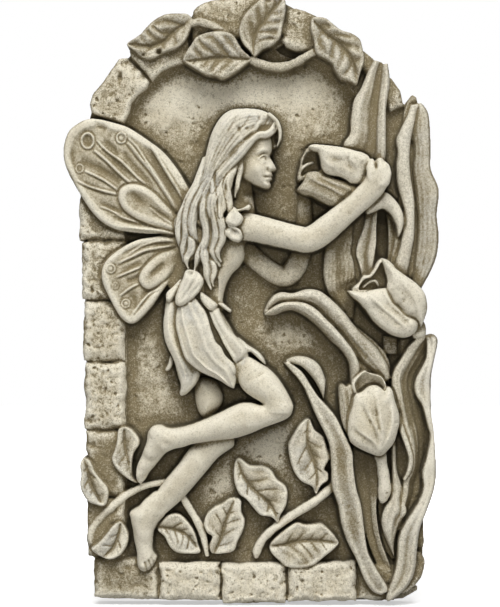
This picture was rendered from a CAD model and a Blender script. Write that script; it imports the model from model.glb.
"""Fairy wall plaque in cast stone, carved as one relief and set up for a studio picture."""
import math

import bmesh
import bpy
import numpy as np
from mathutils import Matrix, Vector


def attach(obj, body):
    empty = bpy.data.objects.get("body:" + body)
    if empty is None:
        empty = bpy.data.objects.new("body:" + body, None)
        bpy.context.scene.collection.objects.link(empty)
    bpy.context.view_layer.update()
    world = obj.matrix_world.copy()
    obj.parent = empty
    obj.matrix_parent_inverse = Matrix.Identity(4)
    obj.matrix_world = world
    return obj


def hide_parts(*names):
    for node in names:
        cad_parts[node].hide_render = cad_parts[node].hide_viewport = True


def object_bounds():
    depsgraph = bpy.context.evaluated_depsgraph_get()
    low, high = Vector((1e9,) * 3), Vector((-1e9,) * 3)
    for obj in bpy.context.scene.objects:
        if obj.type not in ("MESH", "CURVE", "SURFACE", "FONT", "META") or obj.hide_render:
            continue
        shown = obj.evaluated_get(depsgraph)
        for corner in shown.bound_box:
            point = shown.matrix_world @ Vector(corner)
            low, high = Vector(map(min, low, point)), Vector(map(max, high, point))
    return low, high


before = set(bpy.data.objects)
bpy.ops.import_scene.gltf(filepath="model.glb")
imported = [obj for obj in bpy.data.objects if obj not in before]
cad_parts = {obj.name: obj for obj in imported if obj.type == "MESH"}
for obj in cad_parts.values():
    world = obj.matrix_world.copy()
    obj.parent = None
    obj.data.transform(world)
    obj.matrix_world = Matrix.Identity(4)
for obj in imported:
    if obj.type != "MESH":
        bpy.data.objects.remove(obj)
frame_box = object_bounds()

# The slab and its sunk panel
# The flat cast-stone slab behind everything, 21 mm thick, with a panel sunk in it to 16 mm. Its
# clay model is one upright sheet ruled in squares: a spot is (squares from the left, squares from
# the top), and heights are in millimetres above the back.
HEIGHT = 0.305
SQUARE = HEIGHT / 607
SHEET_CENTRE = (251.5, 300.5)
STEP = 0.5
sheet_x, sheet_y = np.meshgrid(np.arange(58, 446, STEP), np.arange(-8, 612, STEP))
clay = np.zeros(sheet_x.shape)
inward = np.full(sheet_x.shape, -60.0)
sandy = np.zeros(sheet_x.shape)
cool = np.zeros(sheet_x.shape)
stain = np.zeros(sheet_x.shape)


def smooth_line(points, closed=False, pieces=4):
    """A curve through the points, as short straight runs."""
    spots = np.array(points, float)
    count = len(spots)
    spans = count if closed else count - 1
    steps = np.linspace(0, 1, pieces, endpoint=False)[:, None]
    runs = []
    for i in range(spans):
        if closed:
            a, b, c, d = (spots[(i + k) % count] for k in (-1, 0, 1, 2))
        else:
            a, b, c, d = (spots[min(max(i + k, 0), count - 1)] for k in (-1, 0, 1, 2))
        runs.append(0.5 * (2 * b + (c - a) * steps + (2 * a - 5 * b + 4 * c - d) * steps ** 2
                           + (3 * b - a - 3 * c + d) * steps ** 3))
    if not closed:
        runs.append(spots[-1:])
    return np.vstack(runs)


def measure(line, closed, x, y):
    """Distance to a line, share of its length, what is inside, and the side (-1 or 1)."""
    starts = line if closed else line[:-1]
    ends = np.roll(line, -1, axis=0) if closed else line[1:]
    lengths = np.hypot(*(ends - starts).T)
    total = max(lengths.sum(), 1e-6)
    nearest = np.full(x.shape, 1e9)
    along = np.zeros(x.shape)
    side = np.ones(x.shape)
    inside = np.zeros(x.shape, bool)
    run = 0.0
    for (ax, ay), (bx, by), length in zip(starts, ends, lengths):
        dx, dy = bx - ax, by - ay
        off_x, off_y = x - ax, y - ay
        share = np.clip((off_x * dx + off_y * dy) / max(length * length, 1e-9), 0, 1)
        gap = (off_x - share * dx) ** 2 + (off_y - share * dy) ** 2
        closer = gap < nearest
        nearest = np.where(closer, gap, nearest)
        along = np.where(closer, (run + share * length) / total, along)
        side = np.where(closer, np.sign(dx * off_y - dy * off_x), side)
        run += length
        if closed and ay != by:
            inside ^= ((ay > y) != (by > y)) & (x < dx * (y - ay) / dy + ax)
    return np.sqrt(nearest), along, inside, side


def rounding(edge, width):
    """Quarter round: 0 at an edge, 1 from the given width inwards."""
    share = np.clip(edge / width, 0, 1)
    return np.sqrt(1 - (1 - share) ** 2)


def window(line, margin):
    """The part of the sheet round a line."""
    low, high = line.min(axis=0) - margin, line.max(axis=0) + margin
    columns = slice(*np.searchsorted(sheet_x[0], (low[0], high[0])))
    rows = slice(*np.searchsorted(sheet_y[:, 0], (low[1], high[1])))
    return (rows, columns), sheet_x[rows, columns], sheet_y[rows, columns]


def lay(place, height, edge, moat, cut=False, join=0.0, sand=0.15, tint=0.0, wash=0.0, fade=1.0):
    """Lays a form over what is there. A moat is the groove that the modelling tool leaves round
    it, and a join is the depth in millimetres to which the crease where two forms meet is filled."""
    old = clay[place]
    if moat:
        width, depth = moat
        sunk = old - fade * depth * np.where(edge < 0, np.clip(1 + edge / width, 0, 1) ** 1.5, 0)
        sunk = np.maximum(sunk, np.minimum(old, PANEL - 1.0))
        old = np.where((edge > -width) & (old < height + 3), sunk, old)
    cover = np.clip(edge / STEP + 0.5, 0, 1)
    target = height if cut else np.maximum(old, height)
    if join:
        target = target + np.clip(join - np.abs(height - old), 0, join) ** 2 / (4 * join)
    shown = cover * (1 if cut else (height > old))
    clay[place] = old + (target - old) * cover
    inward[place] = np.maximum(inward[place], edge)
    sandy[place] += (sand - sandy[place]) * shown
    cool[place] += (tint - cool[place]) * shown
    stain[place] += (wash - stain[place]) * shown


def form(outline, top, drop=3, width=8, moat=(3, 2.5), smooth=True, slope=None, **finish):
    """A rounded form inside an outline; slope is (x, y, rise along x, rise along y)."""
    line = smooth_line(outline, True) if smooth else np.array(outline, float)
    place, x, y = window(line, 10)
    distance, _, inside, _ = measure(line, True, x, y)
    edge = np.where(inside, distance, -distance)
    height = top - drop * (1 - rounding(edge, width))
    if slope:
        height = height + (x - slope[0]) * slope[2] + (y - slope[1]) * slope[3]
    lay(place, height, edge, moat, **finish)


def mound(x0, y0, across, down, rise, turn=0.0):
    """A soft hill, or with a negative rise a hollow."""
    place, x, y = window(np.array([(x0, y0)]), 3 * max(across, down))
    u = (x - x0) * math.cos(turn) + (y - y0) * math.sin(turn)
    v = (y - y0) * math.cos(turn) - (x - x0) * math.sin(turn)
    clay[place] += np.where(inward[place] > 0, rise * np.exp(-(u / across) ** 2 - (v / down) ** 2), 0)


def dab(x0, y0, across, down, wash, turn=0.0):
    """A patch where the brush left more of the wash, or with a negative value less."""
    place, x, y = window(np.array([(x0, y0)]), 3 * max(across, down))
    u = (x - x0) * math.cos(turn) + (y - y0) * math.sin(turn)
    v = (y - y0) * math.cos(turn) - (x - x0) * math.sin(turn)
    stain[place] += wash * np.exp(-(u / across) ** 2 - (v / down) ** 2)


JOINT = 21
PANEL = 16
SLAB = [(98, 599), (95, 595), (94, 559), (87, 556), (86, 300), (86, 125), (95, 98), (112, 72), (132, 52),
        (150, 40), (170, 30), (190, 16), (200, 4), (215, 0.5), (283, 0.5), (300, 10), (322, 20), (345, 36),
        (362, 52), (378, 64), (392, 82), (402, 100), (415, 112), (420, 160), (420, 300), (422, 420),
        (424, 560), (415, 586), (395, 599), (240, 602)]
FOOT_LIP = [(99, 602), (97, 590), (250, 585), (420, 590), (419, 594), (404, 602.5), (370, 603.6),
            (222, 603.8), (160, 602.8)]
SUNK_PANEL = [(126, 567), (126, 330), (126, 130), (131, 108), (140, 95), (150, 84), (160, 75), (170, 68),
              (183, 61), (205, 53), (230, 47), (255, 45), (280, 48), (302, 52), (324, 62), (344, 78),
              (360, 100), (370, 130), (378, 200), (400, 300), (406, 450), (404, 567)]
PANEL_HILLS = ((160, 372, 26, 55, 3.5), (262, 150, 60, 65, 3.0), (282, 338, 45, 26, 3.5),
               (250, 465, 50, 28, 3.0), (150, 300, 25, 40, 1.5), (300, 230, 40, 30, 1.5),
               (160, 105, 30, 20, 1.5), (274, 441, 24, 11, 3.0, -0.5))
PANEL_WASH = ((250, 88, 75, 24, -1.05), (165, 110, 30, 25, -0.4), (262, 140, 40, 40, -0.25),
              (288, 182, 11, 42, 0.42), (199, 150, 9, 30, 0.3), (285, 470, 75, 45, -0.42),
              (306, 434, 26, 11, -0.4, -0.8), (272, 458, 26, 11, -0.4, -0.65),
              (238, 484, 26, 11, -0.4, -0.7), (216, 506, 26, 11, -0.4, -0.9), (252, 312, 14, 34, 0.4),
              (290, 340, 24, 14, -0.15), (274, 441, 28, 13, -0.75, -0.5), (231, 473, 14, 13, -0.35),
              (195, 100, 50, 16, -0.35), (285, 140, 13, 26, -0.22))
form(FOOT_LIP, 10, drop=2, width=3, moat=None, smooth=False, sand=0.3, tint=1.0, wash=0.5)
form(SLAB, JOINT, drop=2, width=4, moat=None, smooth=False, sand=0.5, wash=0.3)
form(SUNK_PANEL, PANEL, drop=PANEL - JOINT, width=9, moat=None, smooth=False, cut=True, sand=0.65, wash=0.06)
for hill in PANEL_HILLS:
    mound(*hill)
for patch in PANEL_WASH:
    dab(*patch)

# The brick border
# Rough square blocks carved round the panel: a column on the left, a course along the foot and
# short blocks over the arch. Their faces are sandy, pitted and chipped at the corners.
MM = 0.001
BRICK = 27
LEFT_COLUMN = ((79, 186, 239.5, 0.3), (81, 241.5, 299, 0.3), (83, 301.5, 361, 0.05),
               (84.5, 363, 429.5, 0.05), (86, 431.5, 497, 0.55), (87, 499.5, 556, 0.8))
FOOT_COURSE = ((94, 157.5, 558, 599, 25, 0.55), (159.5, 219.5, 563, 601, 27.5, -0.5),
               (222.3, 286, 563.5, 604, 27.5, -0.6), (289, 355.5, 562, 602, 27.5, -0.45),
               (358, 395, 566, 601, 24, 0.4))
ARCH_BLOCKS = ([(89.2, 104), (92, 94), (102.4, 81.6), (110.6, 69.4), (118.8, 58), (127, 57), (133, 63.5),
                (141.2, 71.4), (149.4, 81.6), (147, 88), (138, 95), (131.5, 103), (129.5, 112), (124, 124),
                (107, 119), (91, 113)],
               [(129, 50), (150, 35), (186, 18), (190, 62), (182, 63.3), (171.8, 66.3), (161.6, 71.4),
                (152, 81), (143, 70), (131, 58)],
               [(192, 17), (193, 10), (197, 6), (203, 2.6), (212, -0.5), (235, -3), (284, -3), (286, 34),
                (240, 38), (192, 40)],
               [(287, 10.5), (290, 8.6), (296, 7.6), (304.5, 10), (320, 17), (318, 46), (308, 50),
                (302, 50.5), (294, 50), (285, 46), (281, 40), (284, 34.5)],
               [(350, 46), (361, 48), (376, 60), (384, 72), (372, 84)],
               [(380, 74), (392, 78), (401, 91), (404, 106), (390, 112)])
CHIPS = ((217, 589, 4, 4), (284.5, 572, 3, 5), (159.5, 573, 3, 4), (221, 566, 3, 3), (127, 62, 5, 4),
         (135, 68, 4, 4), (143, 76, 4, 4), (92, 446, 3, 3), (123, 250, 3, 3), (100, 297, 4, 3),
         (84, 262, 3, 4), (122, 330, 3, 3), (84, 305, 3, 3), (290, 596, 4, 3), (353, 565, 4, 3),
         (119.8, 76.5, 2, 4.5), (89, 420, 3, 3), (290, 563, 3, 3))

stone = bpy.data.materials.new("cast_stone_washed")


def tree_for(name, *inputs):
    """An empty tree of shape nodes with named inputs."""
    tree = bpy.data.node_groups.new(name, 'GeometryNodeTree')
    for label, kind in inputs:
        tree.interface.new_socket(label, in_out='INPUT', socket_type='NodeSocket' + kind)
    tree.interface.new_socket("Geometry", in_out='OUTPUT', socket_type='NodeSocketGeometry')
    return tree


def add(tree, kind, inputs=None, **settings):
    """Adds a node, with values or links on its inputs, and returns its first output."""
    node = tree.nodes.new(kind)
    for name, value in settings.items():
        setattr(node, name, value)
    for socket, value in (inputs or {}).items():
        if isinstance(value, bpy.types.NodeSocket):
            tree.links.new(value, node.inputs[socket])
        else:
            node.inputs[socket].default_value = value
    return node.outputs[0] if node.outputs else node


def sum_of(tree, operation, first, second=0.0):
    """One sum on two values."""
    return add(tree, 'ShaderNodeMath', {0: first, 1: second}, operation=operation)


def scaled(tree, value, low, high, start, end):
    """A value read from one range into another, and held at its ends."""
    return add(tree, 'ShaderNodeMapRange', {0: value, 1: low, 2: high, 3: start, 4: end})


def made_with(tree, mesh, **inputs):
    """An object shaped by a tree, whose inputs are found by their names."""
    made = bpy.data.objects.new(tree.name, mesh)
    bpy.context.collection.objects.link(made)
    modifier = made.modifiers.new(tree.name, 'NODES')
    modifier.node_group = tree
    for item in tree.interface.items_tree:
        if item.name in inputs:
            modifier[item.identifier] = inputs[item.name]
    return made


def finished(piece):
    """The piece's evaluated mesh, put back on it with no modifiers."""
    evaluated = piece.evaluated_get(bpy.context.evaluated_depsgraph_get())
    mesh = bpy.data.meshes.new_from_object(evaluated)
    piece.modifiers.clear()
    piece.data = mesh
    return mesh


def press(made, **finish):
    """Lays a modelled piece on the clay sheet by the heights of its points, and puts it away."""
    mesh = finished(made)
    points = np.empty(len(mesh.vertices) * 3)
    mesh.vertices.foreach_get("co", points)
    column = np.round((points[0::3] / SQUARE + SHEET_CENTRE[0] - sheet_x[0, 0]) / STEP).astype(int)
    row = np.round((SHEET_CENTRE[1] - points[2::3] / SQUARE - sheet_y[0, 0]) / STEP).astype(int)
    height = np.full(clay.shape, -99.0)
    np.maximum.at(height, (row, column), -points[1::3] / MM)
    for axis in (0, 1):
        between = np.minimum(np.roll(height, 1, axis), np.roll(height, -1, axis))
        height = np.where(height < 0, between, height)
    lay(np.s_[:, :], height, np.where(height < 0, -60.0, 1.5), None, **finish)
    bpy.data.objects.remove(made)


course = tree_for("brick_course", ("Geometry", 'Geometry'), ("Rounding", 'Float'), ("Fall", 'Float'),
                  ("Wander", 'Float'), ("Roughness", 'Float'), ("Seed", 'Float'), ("Material", 'Material'))
brick_inputs = course.nodes.new('NodeGroupInput').outputs
cube = add(course, 'GeometryNodeMeshCube',
           {"Size": (1, 1, 1), "Vertices X": 160, "Vertices Y": 2, "Vertices Z": 160})
cube_spot = add(course, 'GeometryNodeInputPosition')
marked = add(course, 'GeometryNodeStoreNamedAttribute',
             {"Geometry": cube, "Name": "spot", "Value": cube_spot}, data_type='FLOAT_VECTOR',
             domain='POINT')
brick_size = add(course, 'GeometryNodeInputNamedAttribute', {"Name": "size"}, data_type='FLOAT_VECTOR')
brick_spot = add(course, 'GeometryNodeInputNamedAttribute', {"Name": "spot"}, data_type='FLOAT_VECTOR')
set_out = add(course, 'GeometryNodeInstanceOnPoints',
              {"Points": brick_inputs["Geometry"], "Instance": marked, "Scale": brick_size})
bricks = add(course, 'GeometryNodeRealizeInstances', {"Geometry": set_out})
from_middle = add(course, 'ShaderNodeVectorMath', {0: brick_spot}, operation='ABSOLUTE')
to_faces = add(course, 'ShaderNodeVectorMath', {0: (0.5, 0.5, 0.5), 1: from_middle}, operation='SUBTRACT')
from_sides = add(course, 'ShaderNodeVectorMath', {0: to_faces, 1: brick_size}, operation='MULTIPLY')
apart = course.nodes.new('ShaderNodeSeparateXYZ')
course.links.new(from_sides, apart.inputs[0])
from_edge = sum_of(course, 'MINIMUM', apart.outputs[0], apart.outputs[2])


def brick_noise(scale, detail):
    """Roughness of one size over the bricks."""
    return add(course, 'ShaderNodeTexNoise', {"W": brick_inputs["Seed"], "Scale": scale, "Detail": detail},
               noise_dimensions='4D')


waves = brick_noise(140, 2.0)
uneven = sum_of(course, 'MULTIPLY', sum_of(course, 'SUBTRACT', waves, 0.5), brick_inputs["Wander"])
roundness = scaled(course, sum_of(course, 'ADD', from_edge, uneven), 0.0, brick_inputs["Rounding"], 1.0, 0.0)
rounded = sum_of(course, 'MULTIPLY', sum_of(course, 'POWER', roundness, 2.6), brick_inputs["Fall"])
chipped = sum_of(course, 'MULTIPLY', scaled(course, brick_noise(230, 3.0), 0.60, 0.70, 0.0, 0.35),
                 brick_inputs["Fall"])
coarse = sum_of(course, 'MULTIPLY', sum_of(course, 'SUBTRACT', 0.5, brick_noise(650, 4.0)),
                brick_inputs["Roughness"])
lowered = sum_of(course, 'ADD', sum_of(course, 'ADD', rounded, chipped), coarse)
split = course.nodes.new('ShaderNodeSeparateXYZ')
course.links.new(brick_spot, split.inputs[0])
front = sum_of(course, 'LESS_THAN', split.outputs[1], 0.0)
backward = add(course, 'ShaderNodeCombineXYZ', {"Y": lowered})
faced = add(course, 'GeometryNodeSetPosition', {"Geometry": bricks, "Selection": front, "Offset": backward})
swing = course.nodes.new('ShaderNodeTexNoise')
swing.noise_dimensions = '4D'
course.links.new(brick_inputs["Seed"], swing.inputs["W"])
swing.inputs["Scale"].default_value = 110
centred = add(course, 'ShaderNodeVectorMath', {0: swing.outputs["Color"], 1: (0.5, 0.5, 0.5)},
              operation='SUBTRACT')
sideways = add(course, 'ShaderNodeVectorMath', {0: centred, 1: (1, 0, 1)}, operation='MULTIPLY')
moved = add(course, 'ShaderNodeVectorMath', {0: sideways, "Scale": brick_inputs["Wander"]},
            operation='SCALE')
hand_cut = add(course, 'GeometryNodeSetPosition', {"Geometry": faced, "Offset": moved})
finished_course = add(course, 'GeometryNodeSetMaterial',
                      {"Geometry": hand_cut, "Material": brick_inputs["Material"]})
course.links.new(finished_course, course.nodes.new('NodeGroupOutput').inputs[0])

blocks = [(left, 125, top, bottom, BRICK, wash) for left, top, bottom, wash in LEFT_COLUMN]
blocks += FOOT_COURSE
blocks += [(398, 424, 519, 548, BRICK - 1, 0.5)]
for worn in (True, False):
    laid = [brick for brick in blocks if (brick[5] > 0.35) == worn]
    places = bpy.data.meshes.new("brick_places")
    places.from_pydata([(((left + right) / 2 - SHEET_CENTRE[0]) * SQUARE, -level * MM / 2,
                         (SHEET_CENTRE[1] - (top + bottom) / 2) * SQUARE)
                        for left, right, top, bottom, level, wash in laid], [], [])
    sizes = places.attributes.new("size", 'FLOAT_VECTOR', 'POINT')
    brick_sizes = [((right - left) * SQUARE, level * MM, (bottom - top) * SQUARE)
                   for left, right, top, bottom, level, wash in laid]
    sizes.data.foreach_set("vector", np.ravel(brick_sizes))
    press(made_with(course, places, Rounding=0.0034, Fall=0.0032, Wander=0.0035,
                    Roughness=0.0014 if worn else 0.0022, Seed=3.0, Material=stone),
          sand=0.5 if worn else 1.0)
for left, right, top, bottom, level, wash in blocks:
    dab((left + right) / 2, (top + bottom) / 2, 0.62 * (right - left), 0.62 * (bottom - top), wash)


def block(outline, top, wash=0.0):
    """A rough block over the arch, drawn by its outline."""
    form(outline, top, drop=3, width=5, moat=None, smooth=False, sand=1.0, wash=wash)


for outline, wash in zip(ARCH_BLOCKS, (0.1, 0.35, 0.1, 0.35, 0.4, 0.4)):
    block(outline, BRICK, wash)
block([(398, 551), (412, 550), (421, 553), (425.5, 560), (425, 569), (422, 578), (416, 586), (408, 593),
       (398, 596)], BRICK - 1, 0.5)
for x, y, across, down in CHIPS:
    mound(x, y, across, down, -2.2)
form([(384, 336), (398, 336), (398, 354.5), (384, 354.5)], 21, 1.5, 3, moat=(3, 2), smooth=False, sand=0.8)
dab(112, 92, 18, 22, 0.2)
dab(101, 455, 12, 22, 0.25)

# The tall tulip leaves
# Long leaves folded down their middle, smoothed wet along their length. They climb the right
# side from one root at the foot, and two of them bend over into the panel.
SQUARE_MM = 1000 * SQUARE


def graded(values, share):
    """Evenly spaced values, read smoothly at a share of the way along them."""
    values = np.atleast_1d(np.array(values, float))
    spot = np.clip(share, 0, 1) * (len(values) - 1)
    first = np.minimum(spot.astype(int), max(len(values) - 2, 0))
    part = spot - first
    part = part * part * (3 - 2 * part)
    return values[first] + (values[np.minimum(first + 1, len(values) - 1)] - values[first]) * part


def hump(distance, width):
    """A soft rise: 1 on a line, fading within the given width of it."""
    return np.exp(-(distance / width) ** 2)


def stroke(path, width, wash):
    """A stroke of the wash brush along a path, or with a negative value a wiped streak."""
    points = smooth_line(path)
    place, x, y = window(points, 3 * width)
    distance, along, _, _ = measure(points, False, x, y)
    strength = np.sqrt(np.clip(np.sin(math.pi * along), 0, 1))
    stain[place] += wash * strength * hump(distance, width)


def combed(across, along, count, depth):
    """The scoring of a comb: round strands with sharp grooves between, some lying a little higher."""
    wander = count * (across + 0.06 * np.sin(7 * along + 2))
    strand = np.floor(wander)
    lie = np.modf(np.abs(np.sin(12.9898 * (strand + count)) * 43.75))[0]
    return depth * (np.sqrt(np.abs(np.sin(math.pi * wander))) + 0.8 * lie - 1)


def pleated(across, along, count, depth):
    """Thin ridges with broad soft falls between them."""
    wander = count * (across + 0.07 * np.sin(4 * along + count) + 0.10 * np.sin(5 * across))
    off_ridge = wander - np.round(wander)
    return depth * (0.28 * np.cos(2 * math.pi * wander) + 0.8 * hump(off_ridge, 0.11) - 0.3)


def strap(left, right, tops, profile=None, moat=(3, 2.5), rim=(2.5, 1.8), comb=(0, 0), pleats=(0, 0),
          **finish):
    """A long form between two edges; profile is its cross-section, and without one it is round."""
    left_line, right_line = smooth_line(left), smooth_line(right)
    outline = np.vstack([left_line, right_line[::-1]])
    place, x, y = window(outline, 8)
    distance, _, inside, _ = measure(outline, True, x, y)
    from_left, along, _, _ = measure(left_line, False, x, y)
    from_right, _, _, _ = measure(right_line, False, x, y)
    breadth = np.maximum(from_left + from_right, 1e-6)
    across = from_left / breadth
    edge = np.where(inside, distance, -distance)
    height = graded(tops, along)
    if profile is None:
        height = height - SQUARE_MM * (breadth / 2 - np.sqrt(from_left * from_right))
    else:
        height = height + graded(profile, across) - rim[1] * (1 - rounding(edge, rim[0]))
    if comb[0]:
        height = height + combed(across, along, *comb)
    if pleats[0]:
        height = height + pleated(across, along, *pleats) * np.clip(edge / 3, 0, 1)
    lay(place, height, edge, moat, **finish)


def limb(path, radii, tops, moat=(4, 2.5), flat=1.0, comb=(0, 0), rooted=0, **finish):
    """A round form along a path; tops are the heights of its crown."""
    line = smooth_line(path, pieces=6)
    place, x, y = window(line, max(radii) + 8)
    distance, along, _, side = measure(line, False, x, y)
    radius = graded(radii, along)
    round_part = np.sqrt(np.maximum(radius ** 2 - distance ** 2, 0))
    grown = np.clip(along / rooted, 0, 1) if rooted else 1.0
    height = graded(tops, along) - flat * SQUARE_MM * (radius - round_part) - 3 * (1 - grown)
    if comb[0]:
        height = height + combed(0.5 + 0.5 * np.clip(side * distance / radius, -1, 1), along, *comb)
    lay(place, height, radius - distance, moat, fade=grown, **finish)


SMOOTH_LEAF = {"sand": 0.2, "tint": 0.7, "wash": 0.46, "comb": (4, 0.22)}
WOODY_LEAF = {"sand": 0.25, "tint": 0.0, "wash": 0.55, "comb": (8, 0.5)}
form([(404, 112), (420, 112), (420, 290), (388, 290), (398, 220)], 26.5, drop=1, width=3, moat=None,
     sand=0.3, wash=0.6)
form([(380, 390), (404, 380), (424, 400), (424, 530), (392, 560), (378, 500)], 20, drop=1, width=3,
     moat=None, sand=0.3, wash=0.4)
strap([(374, 60), (368, 71), (361, 88), (354, 100), (351, 118), (350, 134), (343, 148), (346, 200)],
      [(383, 62), (380, 80), (378, 110), (377, 140), (372, 165), (366, 205)],
      [29, 30, 30.5, 30, 28], [0, 2, 0.5, -2, -3], rim=(2, 1.2), **SMOOTH_LEAF)
strap([(381, 64), (379, 85), (376, 120), (375, 150), (370, 172)],
      [(388, 63), (390, 81), (386, 110), (386, 150), (384, 172)], [28, 30, 31, 30], [-2, 0.5, 2, 0.5],
      moat=None, rim=(2, 1.2), **SMOOTH_LEAF)
strap([(414, 104), (411, 128), (414, 150), (413, 171), (417, 207), (417.5, 234), (414.5, 262), (412, 285)],
      [(421, 102.5), (429, 115), (431, 150), (431, 169), (439, 190), (437, 215), (439, 238), (435, 262),
       (421, 290)], [29, 29.5, 30, 30, 30, 29], [-2, -0.4, 0.6, 1.1, 1, -0.2], rim=(3, 1.6), **SMOOTH_LEAF)
strap([(411, 105), (406, 118), (400, 130), (396, 140), (397.5, 152), (396, 166), (397, 185), (402, 202),
       (404, 213), (403, 229), (399, 250), (393, 268), (387, 290)],
      [(418, 104), (415, 122), (413, 131), (410.5, 144), (409.5, 158), (410.5, 176), (414, 199),
       (414.5, 218), (414, 237), (411, 254), (406, 285)], [30, 32, 33, 33, 33, 32, 30], **SMOOTH_LEAF)
form([(345, 205), (374, 205), (372, 292), (345, 292)], 23, drop=1, width=3, moat=None, sand=0.3, wash=0.6)
strap([(386.5, 215), (386.5, 240), (386, 268)], [(402, 215), (402, 240), (396, 268)], [22, 22, 22],
      [2, 0, 0], moat=None, **WOODY_LEAF)
strap([(335, 212), (326, 249), (324, 262), (324, 278), (329, 294), (339, 306), (350, 319)],
      [(353, 212), (353, 240), (351, 251), (354, 262), (356, 280), (356, 298), (354, 319)],
      [24.5, 25.5, 26, 25, 22, 18], [0, 1.5, 0.5, 1, 0], **WOODY_LEAF)
strap([(368.5, 205), (363, 229), (358, 242), (356, 254), (359, 264), (362, 276)],
      [(378, 205), (377, 226), (376.5, 240), (375, 253), (371, 276)], [27, 28, 28, 27],
      [0, -0.5, -1.5, 0.5, 2], rim=(1.5, 1), **SMOOTH_LEAF)
form([(378, 210), (387, 212), (388, 258), (377, 258)], 13, 0, 3, moat=None, cut=True, wash=1.0)
dab(352, 298, 13, 14, 0.5)
strap([(353, 432), (354, 475), (361, 505), (365, 530), (373, 556), (386, 582)],
      [(374, 432), (378, 475), (377, 500), (377, 514), (381, 540), (391.5, 568)], [21, 22, 22.5, 22, 21],
      [0, -1, -1, 1, 3], **WOODY_LEAF)
strap([(391, 442), (392, 470), (391, 496), (384.5, 508), (381.5, 522), (385, 537), (394, 557)],
      [(396, 442), (397, 469), (402, 487), (403.5, 500), (407, 512), (400.5, 523), (395, 540), (394.5, 557)],
      [27, 27.5, 28, 27.5, 25], [0, 1.5, 2.5, 0.5, 0], rim=(2, 1.2), **SMOOTH_LEAF)
strap([(423, 334), (410, 344), (400.5, 359), (394, 370), (391.5, 382), (394, 397), (399, 425), (404, 437),
       (409, 451), (409.5, 467), (404, 480), (402, 500), (398, 530)],
      [(438, 340), (433, 362), (424, 378), (424, 395), (430, 415), (432, 435), (427, 460), (424, 480),
       (421, 500), (408, 520), (402, 535)], [30, 30.5, 30.5, 30, 28, 26, 24], [2.5, 2, -2, -6, -8, -6],
      **WOODY_LEAF)
limb([(397, 412), (401, 428), (407, 445), (410.5, 458), (409, 470), (404.5, 479)],
     [2, 2.6, 2.6, 2.4, 2.4, 1.6], [32, 32.5, 33, 33, 32.5, 31.5], moat=(2, 2), **SMOOTH_LEAF)
strap([(426, 336), (426, 357), (417, 375), (414, 386), (416, 396), (422, 406), (427.5, 426), (430, 437),
       (426, 458), (422, 472), (423, 487), (418.5, 501), (409.5, 515.5), (402, 528), (398, 541), (397, 559),
       (393, 577), (387, 593), (386, 601)],
      [(434, 334), (438, 341), (434, 361), (431, 379), (431, 411), (434, 433), (436, 472), (433, 492),
       (426, 512), (419.5, 530), (417, 550), (415, 571), (408, 586), (397, 597), (389, 602)],
      [31, 33, 34, 34.5, 34, 34, 34, 33, 31, 29], [1.5, 0.5, 0, 0.5, 0.5, -0.5], rim=(4, 3), moat=(3, 4),
      **SMOOTH_LEAF)
form([(275, 300), (310, 294), (345, 318), (385, 352), (388, 380), (360, 390), (345, 352), (318, 325),
      (290, 308)], 26.5, drop=2, width=4, sand=0.3, wash=0.6)
strap([(264, 311), (268, 302), (274, 295), (282, 292), (293, 293), (307, 289), (320, 291), (332, 300),
       (345, 313), (359, 331), (370, 341), (377, 348), (383, 357), (388, 366), (391, 378)],
      [(264, 314), (271, 307.5), (280, 302), (292, 301), (305, 302), (317, 308), (327, 318), (338, 329),
       (350, 345), (361, 361), (374, 372), (384, 384)],
      [29, 31, 32, 32.5, 32, 31.5, 31, 30.5, 30, 30, 29.5, 28], [-0.5, 1.2, 1.4, 0, -1.6], rim=(3, 2.2),
      **SMOOTH_LEAF)
dab(360, 345, 26, 14, 0.3, turn=0.8)
strap([(264, 314), (272, 307.5), (281, 303), (292, 301.5), (305, 303), (316, 309), (325, 318), (335, 328),
       (346, 341), (355, 354), (359.5, 368), (356, 380)],
      [(264.5, 315.5), (275, 315), (284, 311.5), (293, 310.5), (303, 315), (310, 320), (320, 329),
       (331, 341), (341, 350), (348, 361), (350, 372), (350, 384)],
      [31, 33.5, 34.5, 35, 35, 34.5, 34, 33, 31], [0.6, 1.8, 0.4, -3.5], rim=(2, 1.2), moat=(2, 2),
      **SMOOTH_LEAF)
stroke([(272, 315), (284, 311), (295, 310.5), (308, 318), (320, 329), (334, 344), (346, 366)], 3.0, 0.55)
strap([(286, 360), (292, 357), (301, 356), (311, 358.5), (320, 366), (326, 380)],
      [(287, 363), (294, 364), (302, 367), (310, 375), (317, 385), (324, 400)],
      [29, 31, 31.5, 31, 30], [-0.5, 1, 1, -0.5], rim=(3, 2), **SMOOTH_LEAF)
strap([(284, 363), (291, 371), (298, 379), (304, 388), (310, 402), (316, 416), (325, 434), (329.5, 447),
       (331, 469), (332, 487), (338, 505), (341, 523), (347, 541), (356, 559), (363, 577), (372, 591),
       (381, 595)],
      [(287, 361.5), (295, 366), (303, 373), (310, 384), (318, 396), (328.5, 407.5), (336, 417), (343, 431),
       (352, 451), (353, 465), (356, 487), (361, 505), (364, 528), (368, 552), (379, 573), (387, 586),
       (387, 592)], [30, 32.5, 33.5, 34, 34.5, 34.5, 34, 34, 33.5, 32, 30], [0.2, 0.9, 0.6, 0.8, 1.6, 1.8],
      rim=(2.5, 2.2), moat=(3, 3), **SMOOTH_LEAF)
for patch in ((339, 456, 10, 16, 0.38), (347, 492, 12, 30, 0.14), (352, 528, 10, 18, 0.28),
              (431, 440, 6, 80, -0.55), (418, 520, 10, 24, -0.25), (390, 200, 13, 80, 0.14)):
    dab(*patch)

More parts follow.
